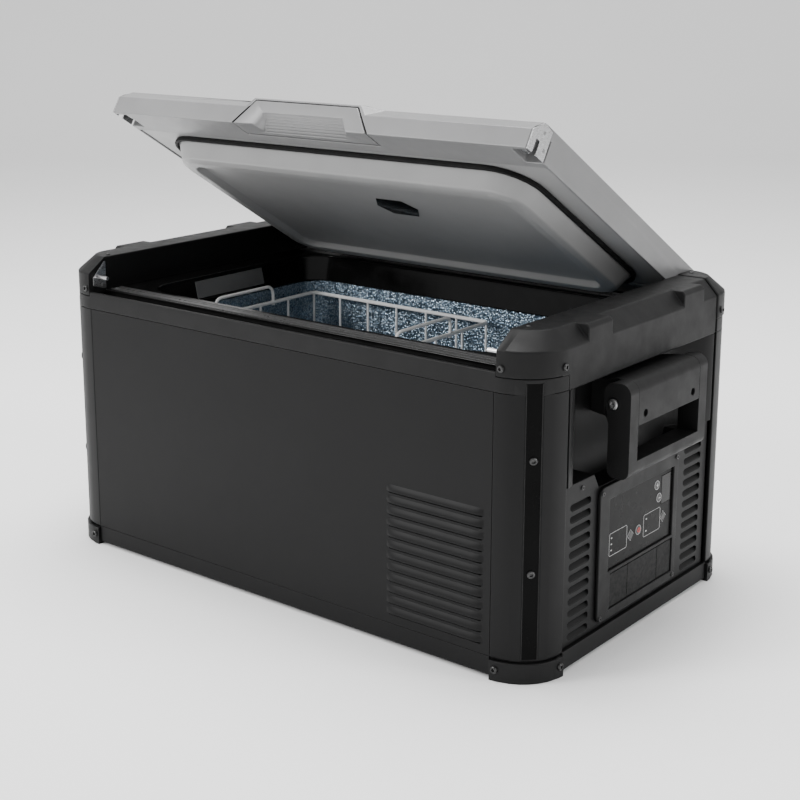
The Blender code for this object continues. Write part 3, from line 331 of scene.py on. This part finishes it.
    s = Shader("black_oxide_screw", grey(0.05), 0.30, metallic=0.9)
    s.vary_colour(s.noise(700.0, 3.0), grey(0.035), grey(0.075))
    s.vary_roughness(s.noise(900.0, 3.0), 0.26, 0.44)
    s.relief(s.noise(2500.0, 2.0), 0.12, 0.00006)
    made["screw_black"] = s.material

    s = Shader("coated_wire_white", grey(0.88), 0.30, coat=0.2)
    s.vary_colour(s.noise(40.0, 4.0), grey(0.85, -0.01), grey(0.91, -0.01))
    s.vary_roughness(s.noise(150.0, 3.0), 0.26, 0.40)
    s.relief(s.noise(900.0, 2.0), 0.10, 0.0001)
    made["basket_white"] = s.material

    s = Shader("insulation_foam", (0.72, 0.62, 0.40), 0.85, specular=0.2)
    s.vary_colour(s.noise(35.0, 5.0), (0.60, 0.49, 0.28), (0.78, 0.69, 0.47))
    s.relief(s.cells(650.0), 0.6, 0.0008)
    made["foam"] = s.material

    s = Shader("drawn_copper", (0.72, 0.36, 0.20), 0.30, metallic=1.0)
    s.vary_colour(s.noise(60.0, 5.0), (0.50, 0.22, 0.11), (0.80, 0.44, 0.27))
    s.vary_roughness(s.noise(120.0, 4.0), 0.22, 0.45)
    s.relief(s.noise(1500.0, 2.0), 0.08, 0.00006)
    made["copper"] = s.material

    s = Shader("machine_enamel", grey(0.012), 0.30, coat=0.3, coat_roughness=0.15)
    s.vary_colour(s.noise(25.0, 5.0), grey(0.008), grey(0.020))
    s.vary_roughness(s.noise(70.0, 4.0), 0.22, 0.45)
    s.relief(s.noise(500.0, 2.0), 0.12, 0.0002)
    made["machine_black"] = s.material

    s = Shader("circuit_board", (0.010, 0.10, 0.035), 0.35, coat=0.3)
    tracks = s.cells(260.0, "F1", 0.35)
    s.vary_colour(tracks, (0.020, 0.17, 0.06), (0.006, 0.07, 0.025), 0.30, 0.42)
    s.vary_roughness(s.noise(300.0, 3.0), 0.28, 0.45)
    s.relief(tracks, 0.25, 0.0001)
    made["board_green"] = s.material

    s = Shader("soft_touch_key", grey(0.045), 0.48)
    s.vary_colour(s.noise(300.0, 3.0), grey(0.035), grey(0.055))
    s.vary_roughness(s.noise(500.0, 3.0), 0.40, 0.56)
    s.relief(s.noise(2600.0, 2.0), 0.12, 0.00008)
    made["button_grey"] = s.material

    s = Shader("flap_rubber", grey(0.006), 0.55, specular=0.14)
    s.vary_colour(s.noise(80.0, 4.0), grey(0.0045), grey(0.0075))
    s.vary_roughness(s.noise(220.0, 4.0), 0.48, 0.64)
    s.relief(s.noise(2000.0, 2.0), 0.18, 0.0001)
    made["rubber"] = s.material

    s = Shader("pale_print", grey(0.55), 0.5)
    s.vary_colour(s.noise(900.0, 3.0), grey(0.45), grey(0.62))
    s.vary_roughness(s.noise(900.0, 2.0), 0.42, 0.58)
    made["print"] = s.material

    s = Shader("indicator_red", (0.55, 0.02, 0.012), 0.3)
    s.vary_colour(s.noise(400.0, 2.0), (0.42, 0.012, 0.008), (0.62, 0.03, 0.02))
    s.vary_roughness(s.noise(400.0, 2.0), 0.22, 0.4)
    s.set("Emission Color", (0.8, 0.05, 0.03, 1.0))
    s.set("Emission Strength", 0.25)
    made["red"] = s.material
    return made


MATERIAL = make_materials()


# Mesh helpers ---------------------------------------------------------------------------------
def lid_turn():
    """Takes lengths drawn for the shut lid to where the stored, part-open lid is."""
    there = Matrix.Translation((0, HINGE_Y * MM, (HINGE_Z + LIFT) * MM))
    back = Matrix.Translation((0, -HINGE_Y * MM, -HINGE_Z * MM))
    return there @ Matrix.Rotation(-math.radians(LID_ANGLE), 4, "X") @ back


BODY_PLACE = Matrix.Translation((0, 0, LIFT * MM))
LID_PLACE = lid_turn()


def add_piece(name, mesh, finish, body, smooth=30.0):
    piece = bpy.data.objects.new(name, mesh)
    bpy.context.scene.collection.objects.link(piece)
    mesh.materials.clear()
    mesh.materials.append(MATERIAL[finish])
    mesh.polygons.foreach_set("use_smooth", [True] * len(mesh.polygons))
    mesh.set_sharp_from_angle(angle=math.radians(smooth))
    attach(piece, body)
    return piece


def rounded_copy(source, reach, segments, angle, clamp):
    """The source's shape with its sharp edges bevelled, or None where the bevel would spoil it."""
    bm = bmesh.new()
    bm.from_mesh(source)
    bmesh.ops.remove_doubles(bm, verts=bm.verts, dist=1e-5)
    bmesh.ops.join_triangles(bm, faces=bm.faces, angle_face_threshold=math.radians(0.5),
                             angle_shape_threshold=math.radians(180))
    if not reach:
        return bm
    low = np.array([v.co for v in bm.verts]).min(0) - 1e-4
    high = np.array([v.co for v in bm.verts]).max(0) + 1e-4
    volume, area = bm.calc_volume(), sum(f.calc_area() for f in bm.faces)
    sharp = [e for e in bm.edges if len(e.link_faces) == 2 and e.calc_face_angle(0.0) > math.radians(angle)]
    small = {v.index for e in sharp if e.calc_length() < reach * 2.0 for v in e.verts}
    chosen = [e for e in sharp if not any(v.index in small for v in e.verts)]
    if chosen:
        bmesh.ops.bevel(bm, geom=chosen, offset=reach, segments=segments, profile=0.5, affect="EDGES",
                        clamp_overlap=clamp)
    corners = np.array([v.co for v in bm.verts])
    inside = (corners.min(0) >= low).all() and (corners.max(0) <= high).all()
    kept = 0.9 * volume < bm.calc_volume() < 1.001 * volume
    tidy = sum(f.calc_area() for f in bm.faces) < 1.004 * area
    shut = all(len(e.link_faces) == 2 for e in bm.edges)
    if inside and kept and tidy and shut:
        return bm
    bm.free()
    return None


def refined(node, width, finish=None, segments=3, angle=30.0, smooth=36.0):
    """A CAD node's own shape with its sharp edges rounded, as much as its small features allow."""
    source = nodes[node].data
    tries = [(width, False), (width * 0.6, False), (width, True), (width * 0.35, False), (0.0, True)]
    for reach, clamp in tries:
        bm = rounded_copy(source, reach * MM, segments, angle, clamp)
        if bm:
            break
    mesh = bpy.data.meshes.new(node + "_skin")
    bm.normal_update()
    bm.to_mesh(mesh)
    bm.free()
    slot = SLOT_OF[node]
    piece = add_piece(node + "_skin", mesh, finish or slot, nodes[node]["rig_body"], smooth)
    even = piece.modifiers.new("even_shading", "WEIGHTED_NORMAL")
    even.keep_sharp = True
    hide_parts(node)
    return piece


class Builder:
    """Collects faces for one mesh, drawn in millimetres."""

    def __init__(self, place=BODY_PLACE):
        self.bm = bmesh.new()
        self.place = place

    def rings(self, loops, cap_start=True, cap_end=True):
        """Skins loops of equal length; each loop is a list of (x, y, z)."""
        rows = [[self.bm.verts.new(self.place @ (Vector(p) * MM)) for p in loop] for loop in loops]
        count = len(rows[0])
        for a, b in zip(rows, rows[1:]):
            for k in range(count):
                n = (k + 1) % count
                self.bm.faces.new((a[k], a[n], b[n], b[k]))
        if cap_start:
            self.bm.faces.new(rows[0][::-1])
        if cap_end:
            self.bm.faces.new(rows[-1])

    def tube(self, points, radius, sides=10, closed=False):
        """A round wire through the points."""
        path = [Vector(p) for p in points]
        count = len(path)
        tangents = []
        for k in range(count):
            if closed:
                a, b = path[k - 1], path[(k + 1) % count]
            else:
                a, b = path[max(k - 1, 0)], path[min(k + 1, count - 1)]
            tangents.append((b - a).normalized())
        normal = tangents[0].orthogonal().normalized()
        loops = []
        for k in range(count):
            tangent = tangents[k]
            normal = (normal - tangent * normal.dot(tangent)).normalized()
            side = tangent.cross(normal)
            turn = [2 * math.pi * i / sides for i in range(sides)]
            loops.append([path[k] + (normal * math.cos(t) + side * math.sin(t)) * radius for t in turn])
        if closed:
            best = min(range(sides), key=lambda i: (loops[0][i] - loops[-1][0]).length)
            loops.append(loops[0][best:] + loops[0][:best])
            self.rings(loops, False, False)
        else:
            self.rings(loops)

    def screw(self, centre, direction, radius, socket=0.5, height=0.34):
        """A domed screw head with a six-sided socket."""
        axis = Vector(direction).normalized()
        u = axis.orthogonal().normalized()
        v = axis.cross(u)
        steps = 24
        loops = []
        flat = radius * socket
        dome = 1.5 * radius * height
        for reach, rise, six in ((1.0, -0.10, False), (1.0, 0.10, False), (0.93, 0.72, False),
                                 (0.74, 1.0, False), (socket, 1.0, True), (socket * 0.94, 0.15, True)):
            loop = []
            for k in range(steps):
                t = 2 * math.pi * k / steps
                r = radius * reach
                if six:
                    wedge = (t + math.pi / 6) % (math.pi / 3) - math.pi / 6
                    r = flat * (reach / socket) / math.cos(wedge) * 0.9
                loop.append(Vector(centre) + (u * math.cos(t) + v * math.sin(t)) * r + axis * (rise * dome))
            loops.append(loop)
        self.rings(loops, True, True)

    def block(self, low, high, taper=0.0):
        """A box whose top can be drawn in a little on all four sides."""
        x0, y0, z0 = low
        x1, y1, z1 = high
        self.rings([[(x0, y0, z0), (x1, y0, z0), (x1, y1, z0), (x0, y1, z0)],
                    [(x0 + taper, y0 + taper, z1), (x1 - taper, y0 + taper, z1),
                     (x1 - taper, y1 - taper, z1), (x0 + taper, y1 - taper, z1)]])

    def done(self, name, finish, body, slot, smooth=32.0):
        bmesh.ops.recalc_face_normals(self.bm, faces=self.bm.faces)
        mesh = bpy.data.meshes.new(name)
        self.bm.to_mesh(mesh)
        self.bm.free()
        return add_piece(name, mesh, finish, body, smooth)


def arc(centre, radius, start, end, steps):
    turns = [math.radians(start + (end - start) * k / steps) for k in range(steps + 1)]
    return [(centre[0] + radius * math.cos(t), centre[1] + radius * math.sin(t)) for t in turns]


def rounded_rect(x0, x1, y0, y1, radius, steps=6):
    near_x, far_x, near_y, far_y = x0 + radius, x1 - radius, y0 + radius, y1 - radius
    return (arc((far_x, near_y), radius, -90, 0, steps) + arc((far_x, far_y), radius, 0, 90, steps)
            + arc((near_x, far_y), radius, 90, 180, steps) + arc((near_x, near_y), radius, 180, 270, steps))


# CAD skins ------------------------------------------------------------------------------------
CORNERS = ("front_right", "front_left", "rear_right", "rear_left")
SIDES = {"right": 1, "left": -1}


def make_skins():
    for corner in CORNERS:
        refined("foot_" + corner, 1.4)
        refined("post_" + corner, 0.7)
    for word in SIDES:
        refined("end_cap_" + word, 1.6)
        refined("hinge_cover_" + word, 1.6)
        refined("handle_block_" + word, 0.6)
        refined("carry_handle_" + word, 2.2)
        refined("end_panel_" + word, 0.8)
        refined("striker_" + word, 0.3)
        refined("lid_corner_" + word, 0.3)
        refined("latch_hook_" + word, 0.5)
    for word in ("front", "rear"):
        refined("top_rail_" + word, 0.9)
        refined(word + "_panel", 0.5)
    refined("base_tray", 0.6)
    refined("control_bezel", 1.0)
    refined("control_face", 0.3, "panel_film")
    refined("display_window", 0.4)
    refined("collar", 1.2)
    refined("lid_shell", 1.0)
    refined("latch_paddle", 1.2)
    refined("lid_inner", 1.6)
    refined("lid_gasket", 1.2)
    refined("inner_plate", 0.25, "plate_satin")
    for key in ("up", "down", "mode", "battery", "power"):
        refined("button_" + key, 0.35)
    for word in ("dc", "ac", "usb"):
        refined("flap_" + word, 0.6)


def finish_cad_nodes():
    """Every carried-over CAD node takes its own procedural material."""
    for name, node in nodes.items():
        node.data.materials.clear()
        node.data.materials.append(MATERIAL[SLOT_OF[name]])


# Louvres --------------------------------------------------------------------------------------
def hood(builder, along, face, start, end, z, height, proud, normal):
    """A pressed louvre: a band that swells outwards and ends in an open lower lip.
    along is the axis of its length, "x" or "y"; normal is +1 or -1 for the way the panel faces."""
    skin = 0.9
    steps_u, steps_v = 14, 5
    outer, inner = [], []
    ease = min(9.0, (end - start) * 0.18)
    for i in range(steps_u + 1):
        u = i / steps_u
        # the points crowd towards both ends, where the band curves back into the sheet
        s = start + (end - start) * (0.5 - 0.5 * math.cos(math.pi * u))
        edge = min(s - start, end - s)
        swell = math.sin(min(edge / ease, 1.0) * math.pi / 2) ** 0.8
        row_out, row_in = [], []
        for j in range(steps_v + 1):
            t = j / steps_v
            depth = proud * swell * math.sin(t * math.pi / 2)
            drop = z + height * (0.5 - t)
            d_out = face + normal * (depth + 0.05)
            d_in = face + normal * (depth + 0.05 - skin)
            for row, d in ((row_out, d_out), (row_in, d_in)):
                row.append((s, d, drop) if along == "x" else (d, s, drop))
        outer.append(row_out)
        inner.append(row_in)
    loops = [a + b[::-1] for a, b in zip(outer, inner)]
    builder.rings(loops)


def make_louvres():
    """Hoods over the front and rear slots, blades in the end slots, and dark screens behind them all:
    painted shade seen through the openings.
    """
    hood_ends, hood_height, hood_proud = (165.5, 291.5), 7.4, 2.8
    first_z = 34.3 + 3.4                            # the lowest slot, and how far its hood stands above it
    for word, way, count, pitch in (("front", -1, 12, 12.583), ("rear", 1, 8, 12.625)):
        hoods = Builder()
        for k in range(count):
            hood(hoods, "x", HALF_Y * way, *hood_ends, first_z + pitch * k, hood_height, hood_proud, way)
        hoods.done(word + "_louvres", "body_black", "body", "body_black", 40)
    # dark sheets behind the front and rear slots: painted shade
    shade_screens = Builder()
    shade_screens.block((162, -209.4, 28), (295, -208.6, 180))
    shade_screens.block((162, 208.6, 28), (295, 209.4, 130))
    shade_screens.done("louvre_shade_screens", "seal_black", "body", "body_black")
    low_z, pitch = 25, 12.917
    for word, side in SIDES.items():
        blades, shade_screen = Builder(), Builder()
        for y0, y1 in ((-144.6, -102.4), (99.4, 141.6)):
            for k in range(12):
                z = low_z + pitch * (k + 0.5)
                profile = [(350.4, z - 4.6), (350.4, z - 3.2), (345.2, z + 2.6), (344.2, z + 2.0)]
                blades.rings([[(x * side, y, h) for x, h in profile] for y in (y0, y1)])
            near, far = sorted((341.0 * side, 342.5 * side))
            # dark sheet behind the end slots: painted shade
            shade_screen.block((near, y0 - 1, 26), (far, y1 + 1, 180))
        blades.done("vent_blades_" + word, "body_black", "body", "body_black", 30)
        shade_screen.done("vent_shade_screen_" + word, "seal_black", "body", "body_black")


def make_post_strips():
    """Black insert down the channel in each rounded corner, partly its own glossy black and partly darkened
    as painted shade for the groove, with a fine bead along its edges.
    """
    low, high = 23.0, 315.0
    half, seat, face = 8.6, 50.0, 50.5
    for sx, sy in CORNER_SIGNS:
        u = Vector((math.sqrt(0.5) * sx, math.sqrt(0.5) * sy, 0))
        v = Vector((-u.y, u.x, 0))
        centre = Vector((CORNER_X * sx, CORNER_Y * sy, 0))

        def spot(out, along, z):
            return centre + u * out + v * along + Vector((0, 0, z))

        number = int(sx > 0) * 2 + int(sy > 0)
        strip, bead = Builder(), Builder()
        strip.rings([[spot(seat, -half, z), spot(seat, half, z), spot(face, half, z), spot(face, -half, z)]
                     for z in (low, high)])
        strip.done("post_strip_%d" % number, "insert_and_groove_shade_black", "body", "gloss_black")
        for along in (-8.3, 8.3):
            bead.tube([spot(50.9, along, low), spot(50.9, along, high)], 0.55, 8)
        bead.done("post_bead_%d" % number, "trim_black", "body", "gloss_black")


def make_gap_shade_liners():
    """Dark strips behind the joints of the end panels: painted shade in the joints, so the foam doesn't show
    through them.
    """
    shade_liners = Builder()
    for sx, sy in CORNER_SIGNS:
        x0, x1 = sorted((338.0 * sx, 339.5 * sx))
        y0, y1 = sorted((148.0 * sy, 170.0 * sy))
        shade_liners.block((x0, y0, 24.0), (x1, y1, 300.0))
    shade_liners.done("gap_shade_liners", "seal_black", "body", "body_black")


# Screws ---------------------------------------------------------------------------------------
def make_screws():
    case = Builder()
    screw_x, screw_y = 309.0, 166.5
    # the post screws sit in the channel, a little inside the corner's own radius
    reach = (CORNER_R - 1.3) * math.sqrt(0.5)
    for sx, sy in CORNER_SIGNS:
        case.screw((screw_x * sx, FOOT_Y * sy, FOOT_SCREW_Z), (0, sy, 0), 4.1)
        case.screw((FOOT_X * sx, screw_y * sy, FOOT_SCREW_Z), (sx, 0, 0), 4.1)
        proud = 1.2 if sy > 0 else 0.0              # the hinge covers stand out from the end caps
        case.screw((screw_x * sx, (HALF_Y + proud) * sy, CAP_SCREW_Z), (0, sy, 0), 3.9)
        case.screw(((HALF_X + proud) * sx, screw_y * sy, CAP_SCREW_Z), (sx, 0, 0), 3.9)
        case.screw((313 * sx, 171.5 * sy, CAP_TOP + proud), (0, 0, 1), 2.6)
        for z in (236, 116):
            case.screw(((CORNER_X + reach) * sx, (CORNER_Y + reach) * sy, z), (sx, sy, 0), 4.3)
        case.screw((351 * sx, 121.0 * sy, 190.5), (sx, 0, 0), 2.8)
    for y, z in ((-85.6, 174.5), (-85.0, 33), (75.4, 33), (75.4, 174.5)):
        case.screw((HALF_X, y, z), (1, 0, 0), 2.8)
    case.done("case_screws", "screw_black", "body", "trim_black")

    wells, bright, lid = Builder(), Builder(), Builder(LID_PLACE)
    flat, lid_flat = 0.07, 0.10                     # flat heads: the shut lid passes the caps 0.6 mm away
    for sx in BOTH:
        for sy in BOTH:
            wells.screw((373.5 * sx, 52 * sy, 261), (sx, 0, 0), 3.6)
            bright.screw((363 * sx, 85.4 * sy, 274), (0, sy, 0), 6.0, 0.5, 0.2)
        for y, z in ((-189.5, 352), (-189.0, 330)):
            bright.screw((CAP_INNER_X * sx, y, z), (-sx, 0, 0), 2.0, 0.5, flat)
        for y, z in ((-192.0, 356), (-184.3, 340)):
            lid.screw((LID_HALF_X * sx, y, z), (sx, 0, 0), 2.2, 0.5, lid_flat)
    wells.done("handle_screws", "screw_black", "body", "trim_black")
    bright.done("bright_screws", "screw_steel", "body", "steel")
    lid.done("lid_screws", "screw_steel", "lid", "steel")


# Control panel --------------------------------------------------------------------------------
def line_box(builder, y0, y1, z0, z1, radius):
    path = [(PANEL_FACE, y, z) for y, z in rounded_rect(y0, y1, z0, z1, radius, 3)]
    builder.tube(path, 0.25, 6, True)


def line_ring(builder, y, z, radius):
    """A thin printed circle."""
    turns = np.linspace(0, 2 * math.pi, 28, endpoint=False)
    path = [(PANEL_FACE + 0.15, y + radius * math.cos(t), z + radius * math.sin(t)) for t in turns]
    builder.tube(path, 0.32, 6, True)


def key_stroke(builder, y, z, half_y, half_z):
    """A thin printed bar on a key."""
    builder.block((KEY_FACE, y - half_y, z - half_z), (KEY_FACE + 0.14, y + half_y, z + half_z))


def make_panel_print():
    plus, minus, power = (35.5, 151.0), (41.0, 135.0), (-3.5, 110.0)
    lines = Builder()
    for y0 in (-65.5, 8.0):
        line_box(lines, y0, y0 + 37.0, 97.5, 123.0, 2.0)
    # small marks that stand for the indicator lamps' legends
    for y, z in ((-61, 117.5), (-61, 110.5), (-61, 103.5), (14, 117.5), (14, 103.5)):
        lines.block((PANEL_FACE - 0.05, y - 1.2, z - 0.7), (PANEL_FACE + 0.12, y + 1.2, z + 0.7))
    key_stroke(lines, *plus, 2.0, 0.35)
    key_stroke(lines, *plus, 0.35, 2.0)
    key_stroke(lines, *minus, 2.0, 0.35)
    for y, z in (plus, minus):
        line_ring(lines, y, z, 5.0)
    for y, z in ((51.5, 110.0), (-20.5, 109.0)):
        reach = 6.3
        diamond = [(y, z + reach), (y - reach, z), (y, z - reach), (y + reach, z)]
        lines.tube([(PANEL_FACE + 0.1, a, b) for a, b in diamond], 0.28, 6, True)
    line_ring(lines, *power, 5.3)
    lines.done("panel_marks", "print", "body", "gloss_black")

    # the red power mark: a ring that is open at its top, with a stroke through the gap
    red = Builder()
    y, z = power
    face, gap, radius = 353.42, 0.5, 2.5
    turns = np.linspace(gap, 2 * math.pi - gap, 20)
    red.tube([(face, y + radius * math.sin(t), z + radius * math.cos(t)) for t in turns], 0.35, 6)
    red.tube([(face, y, z + 0.4), (face, y, z + 3.2)], 0.35, 6)
    red.done("power_mark", "red", "body", "gloss_black")


# Basket ---------------------------------------------------------------------------------------
def rounded_path(points, radius, steps=4):
    """A polyline with its inner corners rounded."""
    path = [Vector(points[0])]
    for a, b, c in zip(points, points[1:], points[2:]):
        a, b, c = Vector(a), Vector(b), Vector(c)
        start = b + (a - b).normalized() * radius
        end = b + (c - b).normalized() * radius
        for k in range(steps + 1):
            t = k / steps
            path.append(start * (1 - t) ** 2 + b * 2 * t * (1 - t) + end * t * t)
    path.append(Vector(points[-1]))
    return path


def make_basket():
    """White wires in place of the CAD's plain tray: hoops round it, wires under it, and two loops."""
    x0, x1, y0, y1, z0, z1 = -244.0, 51.0, -136.0, 136.0, 50.0, 275.0
    count_x, count_y, count_z = 6, 5, 4
    thin, inset, bend = 1.6, 1.5, 6
    wires = Builder()
    for k in range(count_z + 1):
        hoop = [(x, y, z0 + (z1 - z0) * k / count_z) for x, y in rounded_rect(x0, x1, y0, y1, 7, 4)]
        wires.tube(hoop, 2.5 if k == count_z else 1.7, 10, True)
    for i in range(1, count_x):
        x = x0 + (x1 - x0) * i / count_x
        path = [(y0 + inset, z1), (y0 + inset, z0 + 1), (y1 - inset, z0 + 1), (y1 - inset, z1)]
        wires.tube(rounded_path([(x, y, z) for y, z in path], bend), thin, 8)
    for j in range(1, count_y):
        y = y0 + (y1 - y0) * j / count_y
        path = [(x0 + inset, z1), (x0 + inset, z0 + 2), (x1 - inset, z0 + 2), (x1 - inset, z1)]
        wires.tube(rounded_path([(x, y, z) for x, z in path], bend), thin, 8)
    for x in (x0 + 2.0, x1 - 2.0):
        for y in (y0 + 2.0, y1 - 2.0):
            wires.tube([(x, y, z0 + 1), (x, y, z1)], thin, 8)
    half, top = 54, z1 + 22
    for x, lean in ((x0, -1), (x1, 1)):
        loop = [(x, -half, z1 - 4), (x + lean, -half, top), (x + lean, half, top), (x, half, z1 - 4)]
        wires.tube(rounded_path(loop, 12, 6), 2.1, 10)
    piece = wires.done("basket_wires", "basket_white", "basket_body", "basket_white")
    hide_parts("basket")


# Lid details ----------------------------------------------------------------------------------
def make_lid_details():
    # ribs up the slope of the paddle's scoop, which runs from (low_y, low_z) to its upper end
    low_y, low_z, run_y, run_z = -191.4, 327.0, -18.8, 18.5
    ribs = Builder(LID_PLACE)
    for k in range(6):
        z = 329.6 + 2.65 * k
        t = (z - low_z) / run_z
        y = low_y + run_y * t
        half = 62 - 5 * t
        ribs.tube([(-half + 1.5, y, z), (-half + 3, y - 0.5, z), (half - 3, y - 0.5, z),
                   (half - 1.5, y, z)], 0.9, 8)
    ribs.done("paddle_ribs", "lid_silver", "latch", "lid_silver")

    # painted shadow lines down both sides of the paddle, in its gap; none along its top, which lifts as the
    # paddle is pulled
    gap = Builder(LID_PLACE)
    low_x, narrowing = 98.9, 23.0 / 29.5
    shoulder_x = low_x - narrowing * (LID_SHOULDER - LID_BOTTOM)
    for side in BOTH:
        gap.tube([(low_x * side, -212.4, LID_BOTTOM + 0.4), (shoulder_x * side, -212.4, LID_SHOULDER - 0.1),
                  ((shoulder_x - 5.2) * side, -205.3, 357.9)], 0.8, 8)
    gap.done("paddle_gap_shadow", "seal_black", "lid", "seal_black")

    badge = Builder(LID_PLACE)
    centre_x, centre_y, chamfer = 39, -50, 0.95
    outline = [(9, -50), (20, -29.5), (24, -29), (57, -29), (69, -50), (58, -70.5), (54, -71), (21, -71)]
    face = [(centre_x + (x - centre_x) * chamfer, centre_y + (y - centre_y) * chamfer) for x, y in outline]
    badge.rings([[(x, y, 312.3) for x, y in outline], [(x, y, 311.3) for x, y in outline],
                 [(x, y, 310.9) for x, y in face]])
    badge.done("blank_badge", "gloss_black", "lid", "plug_grey", 25)


def make_collar_details():
    """Satin strips that line the front and rear lands, each with a rivet at both ends."""
    strip_half, strip_top, line_top = 296, LAND_TOP + 0.5, LAND_TOP + 1.0
    for word, sy in (("front", -1), ("rear", 1)):
        strip, rivets = Builder(), Builder()
        # an extruded profile: a flat strip with three raised lines along it
        for near, far, top in ((166.0, 184.0, strip_top), (166.6, 168.6, line_top), (173.4, 175.0, line_top),
                               (181.0, 183.2, line_top)):
            y0, y1 = sorted((near * sy, far * sy))
            strip.block((-strip_half, y0, LAND_TOP - 0.6), (strip_half, y1, top), 0.1)
        strip.done("land_strip_" + word, "strip_satin", "body", "gloss_black")
        for sx in BOTH:
            rivets.screw((291 * sx, 178 * sy, LAND_TOP + 0.6), (0, 0, 1), 2.4, 0.5, 0.16)
        rivets.done("land_rivets_" + word, "screw_steel", "body", "steel")


make_skins()
finish_cad_nodes()
make_louvres()
make_post_strips()
make_gap_shade_liners()
make_screws()
make_panel_print()
make_basket()
make_lid_details()
make_collar_details()


# Stage and light ------------------------------------------------------------------------------
def make_stage():
    mesh = bpy.data.meshes.new("studio_floor")
    bm = bmesh.new()
    width, front, back, radius, height = 9.0, -6.0, 4.0, 2.0, 6.0
    profile = [(front, 0.0)] + [(back + radius * math.sin(t), radius - radius * math.cos(t))
                                for t in np.linspace(0, math.pi / 2, 16)] + [(back + radius, height)]
    rows = [[bm.verts.new((x, y, z)) for y, z in profile] for x in (-width, width)]
    for k in range(len(profile) - 1):
        bm.faces.new((rows[0][k], rows[1][k], rows[1][k + 1], rows[0][k + 1]))
    turn = Matrix.Rotation(math.radians(FLOOR_TURN), 3, "Z")
    bmesh.ops.rotate(bm, verts=bm.verts, cent=(0, 0, 0), matrix=turn)
    bm.to_mesh(mesh)
    bm.free()
    mesh.polygons.foreach_set("use_smooth", [True] * len(mesh.polygons))
    floor = bpy.data.objects.new("studio_floor", mesh)
    bpy.context.scene.collection.objects.link(floor)
    s = Shader("studio_paper", grey(0.93), 0.7, specular=0.2)
    s.vary_colour(s.noise(2.0, 2.0), grey(0.925), grey(0.94))
    mesh.materials.append(s.material)


def area_light(name, place, target, size, power):
    data = bpy.data.lights.new(name, "AREA")
    data.shape = "RECTANGLE"
    data.size, data.size_y = size
    data.energy = power
    light = bpy.data.objects.new(name, data)
    bpy.context.scene.collection.objects.link(light)
    light.location = place
    light.rotation_euler = (Vector(target) - Vector(place)).to_track_quat("-Z", "Y").to_euler()


def make_light():
    world = bpy.data.worlds.new("studio")
    bpy.context.scene.world = world
    world.use_nodes = True
    world.node_tree.nodes["Background"].inputs["Color"].default_value = (1.0, 1.0, 1.0, 1.0)
    world.node_tree.nodes["Background"].inputs["Strength"].default_value = 0.9
    area_light("overhead", (-0.3, 0.2, 2.8), (0, 0, 0.3), (2.0, 1.4), 125.0)
    area_light("key_front_left", (-1.7, -2.5, 1.9), (0, 0, 0.3), (0.9, 0.9), 72.0)
    area_light("rim_right", (2.8, 0.9, 1.6), (0.2, 0, 0.25), (0.8, 1.8), 32.0)


make_stage()
make_light()
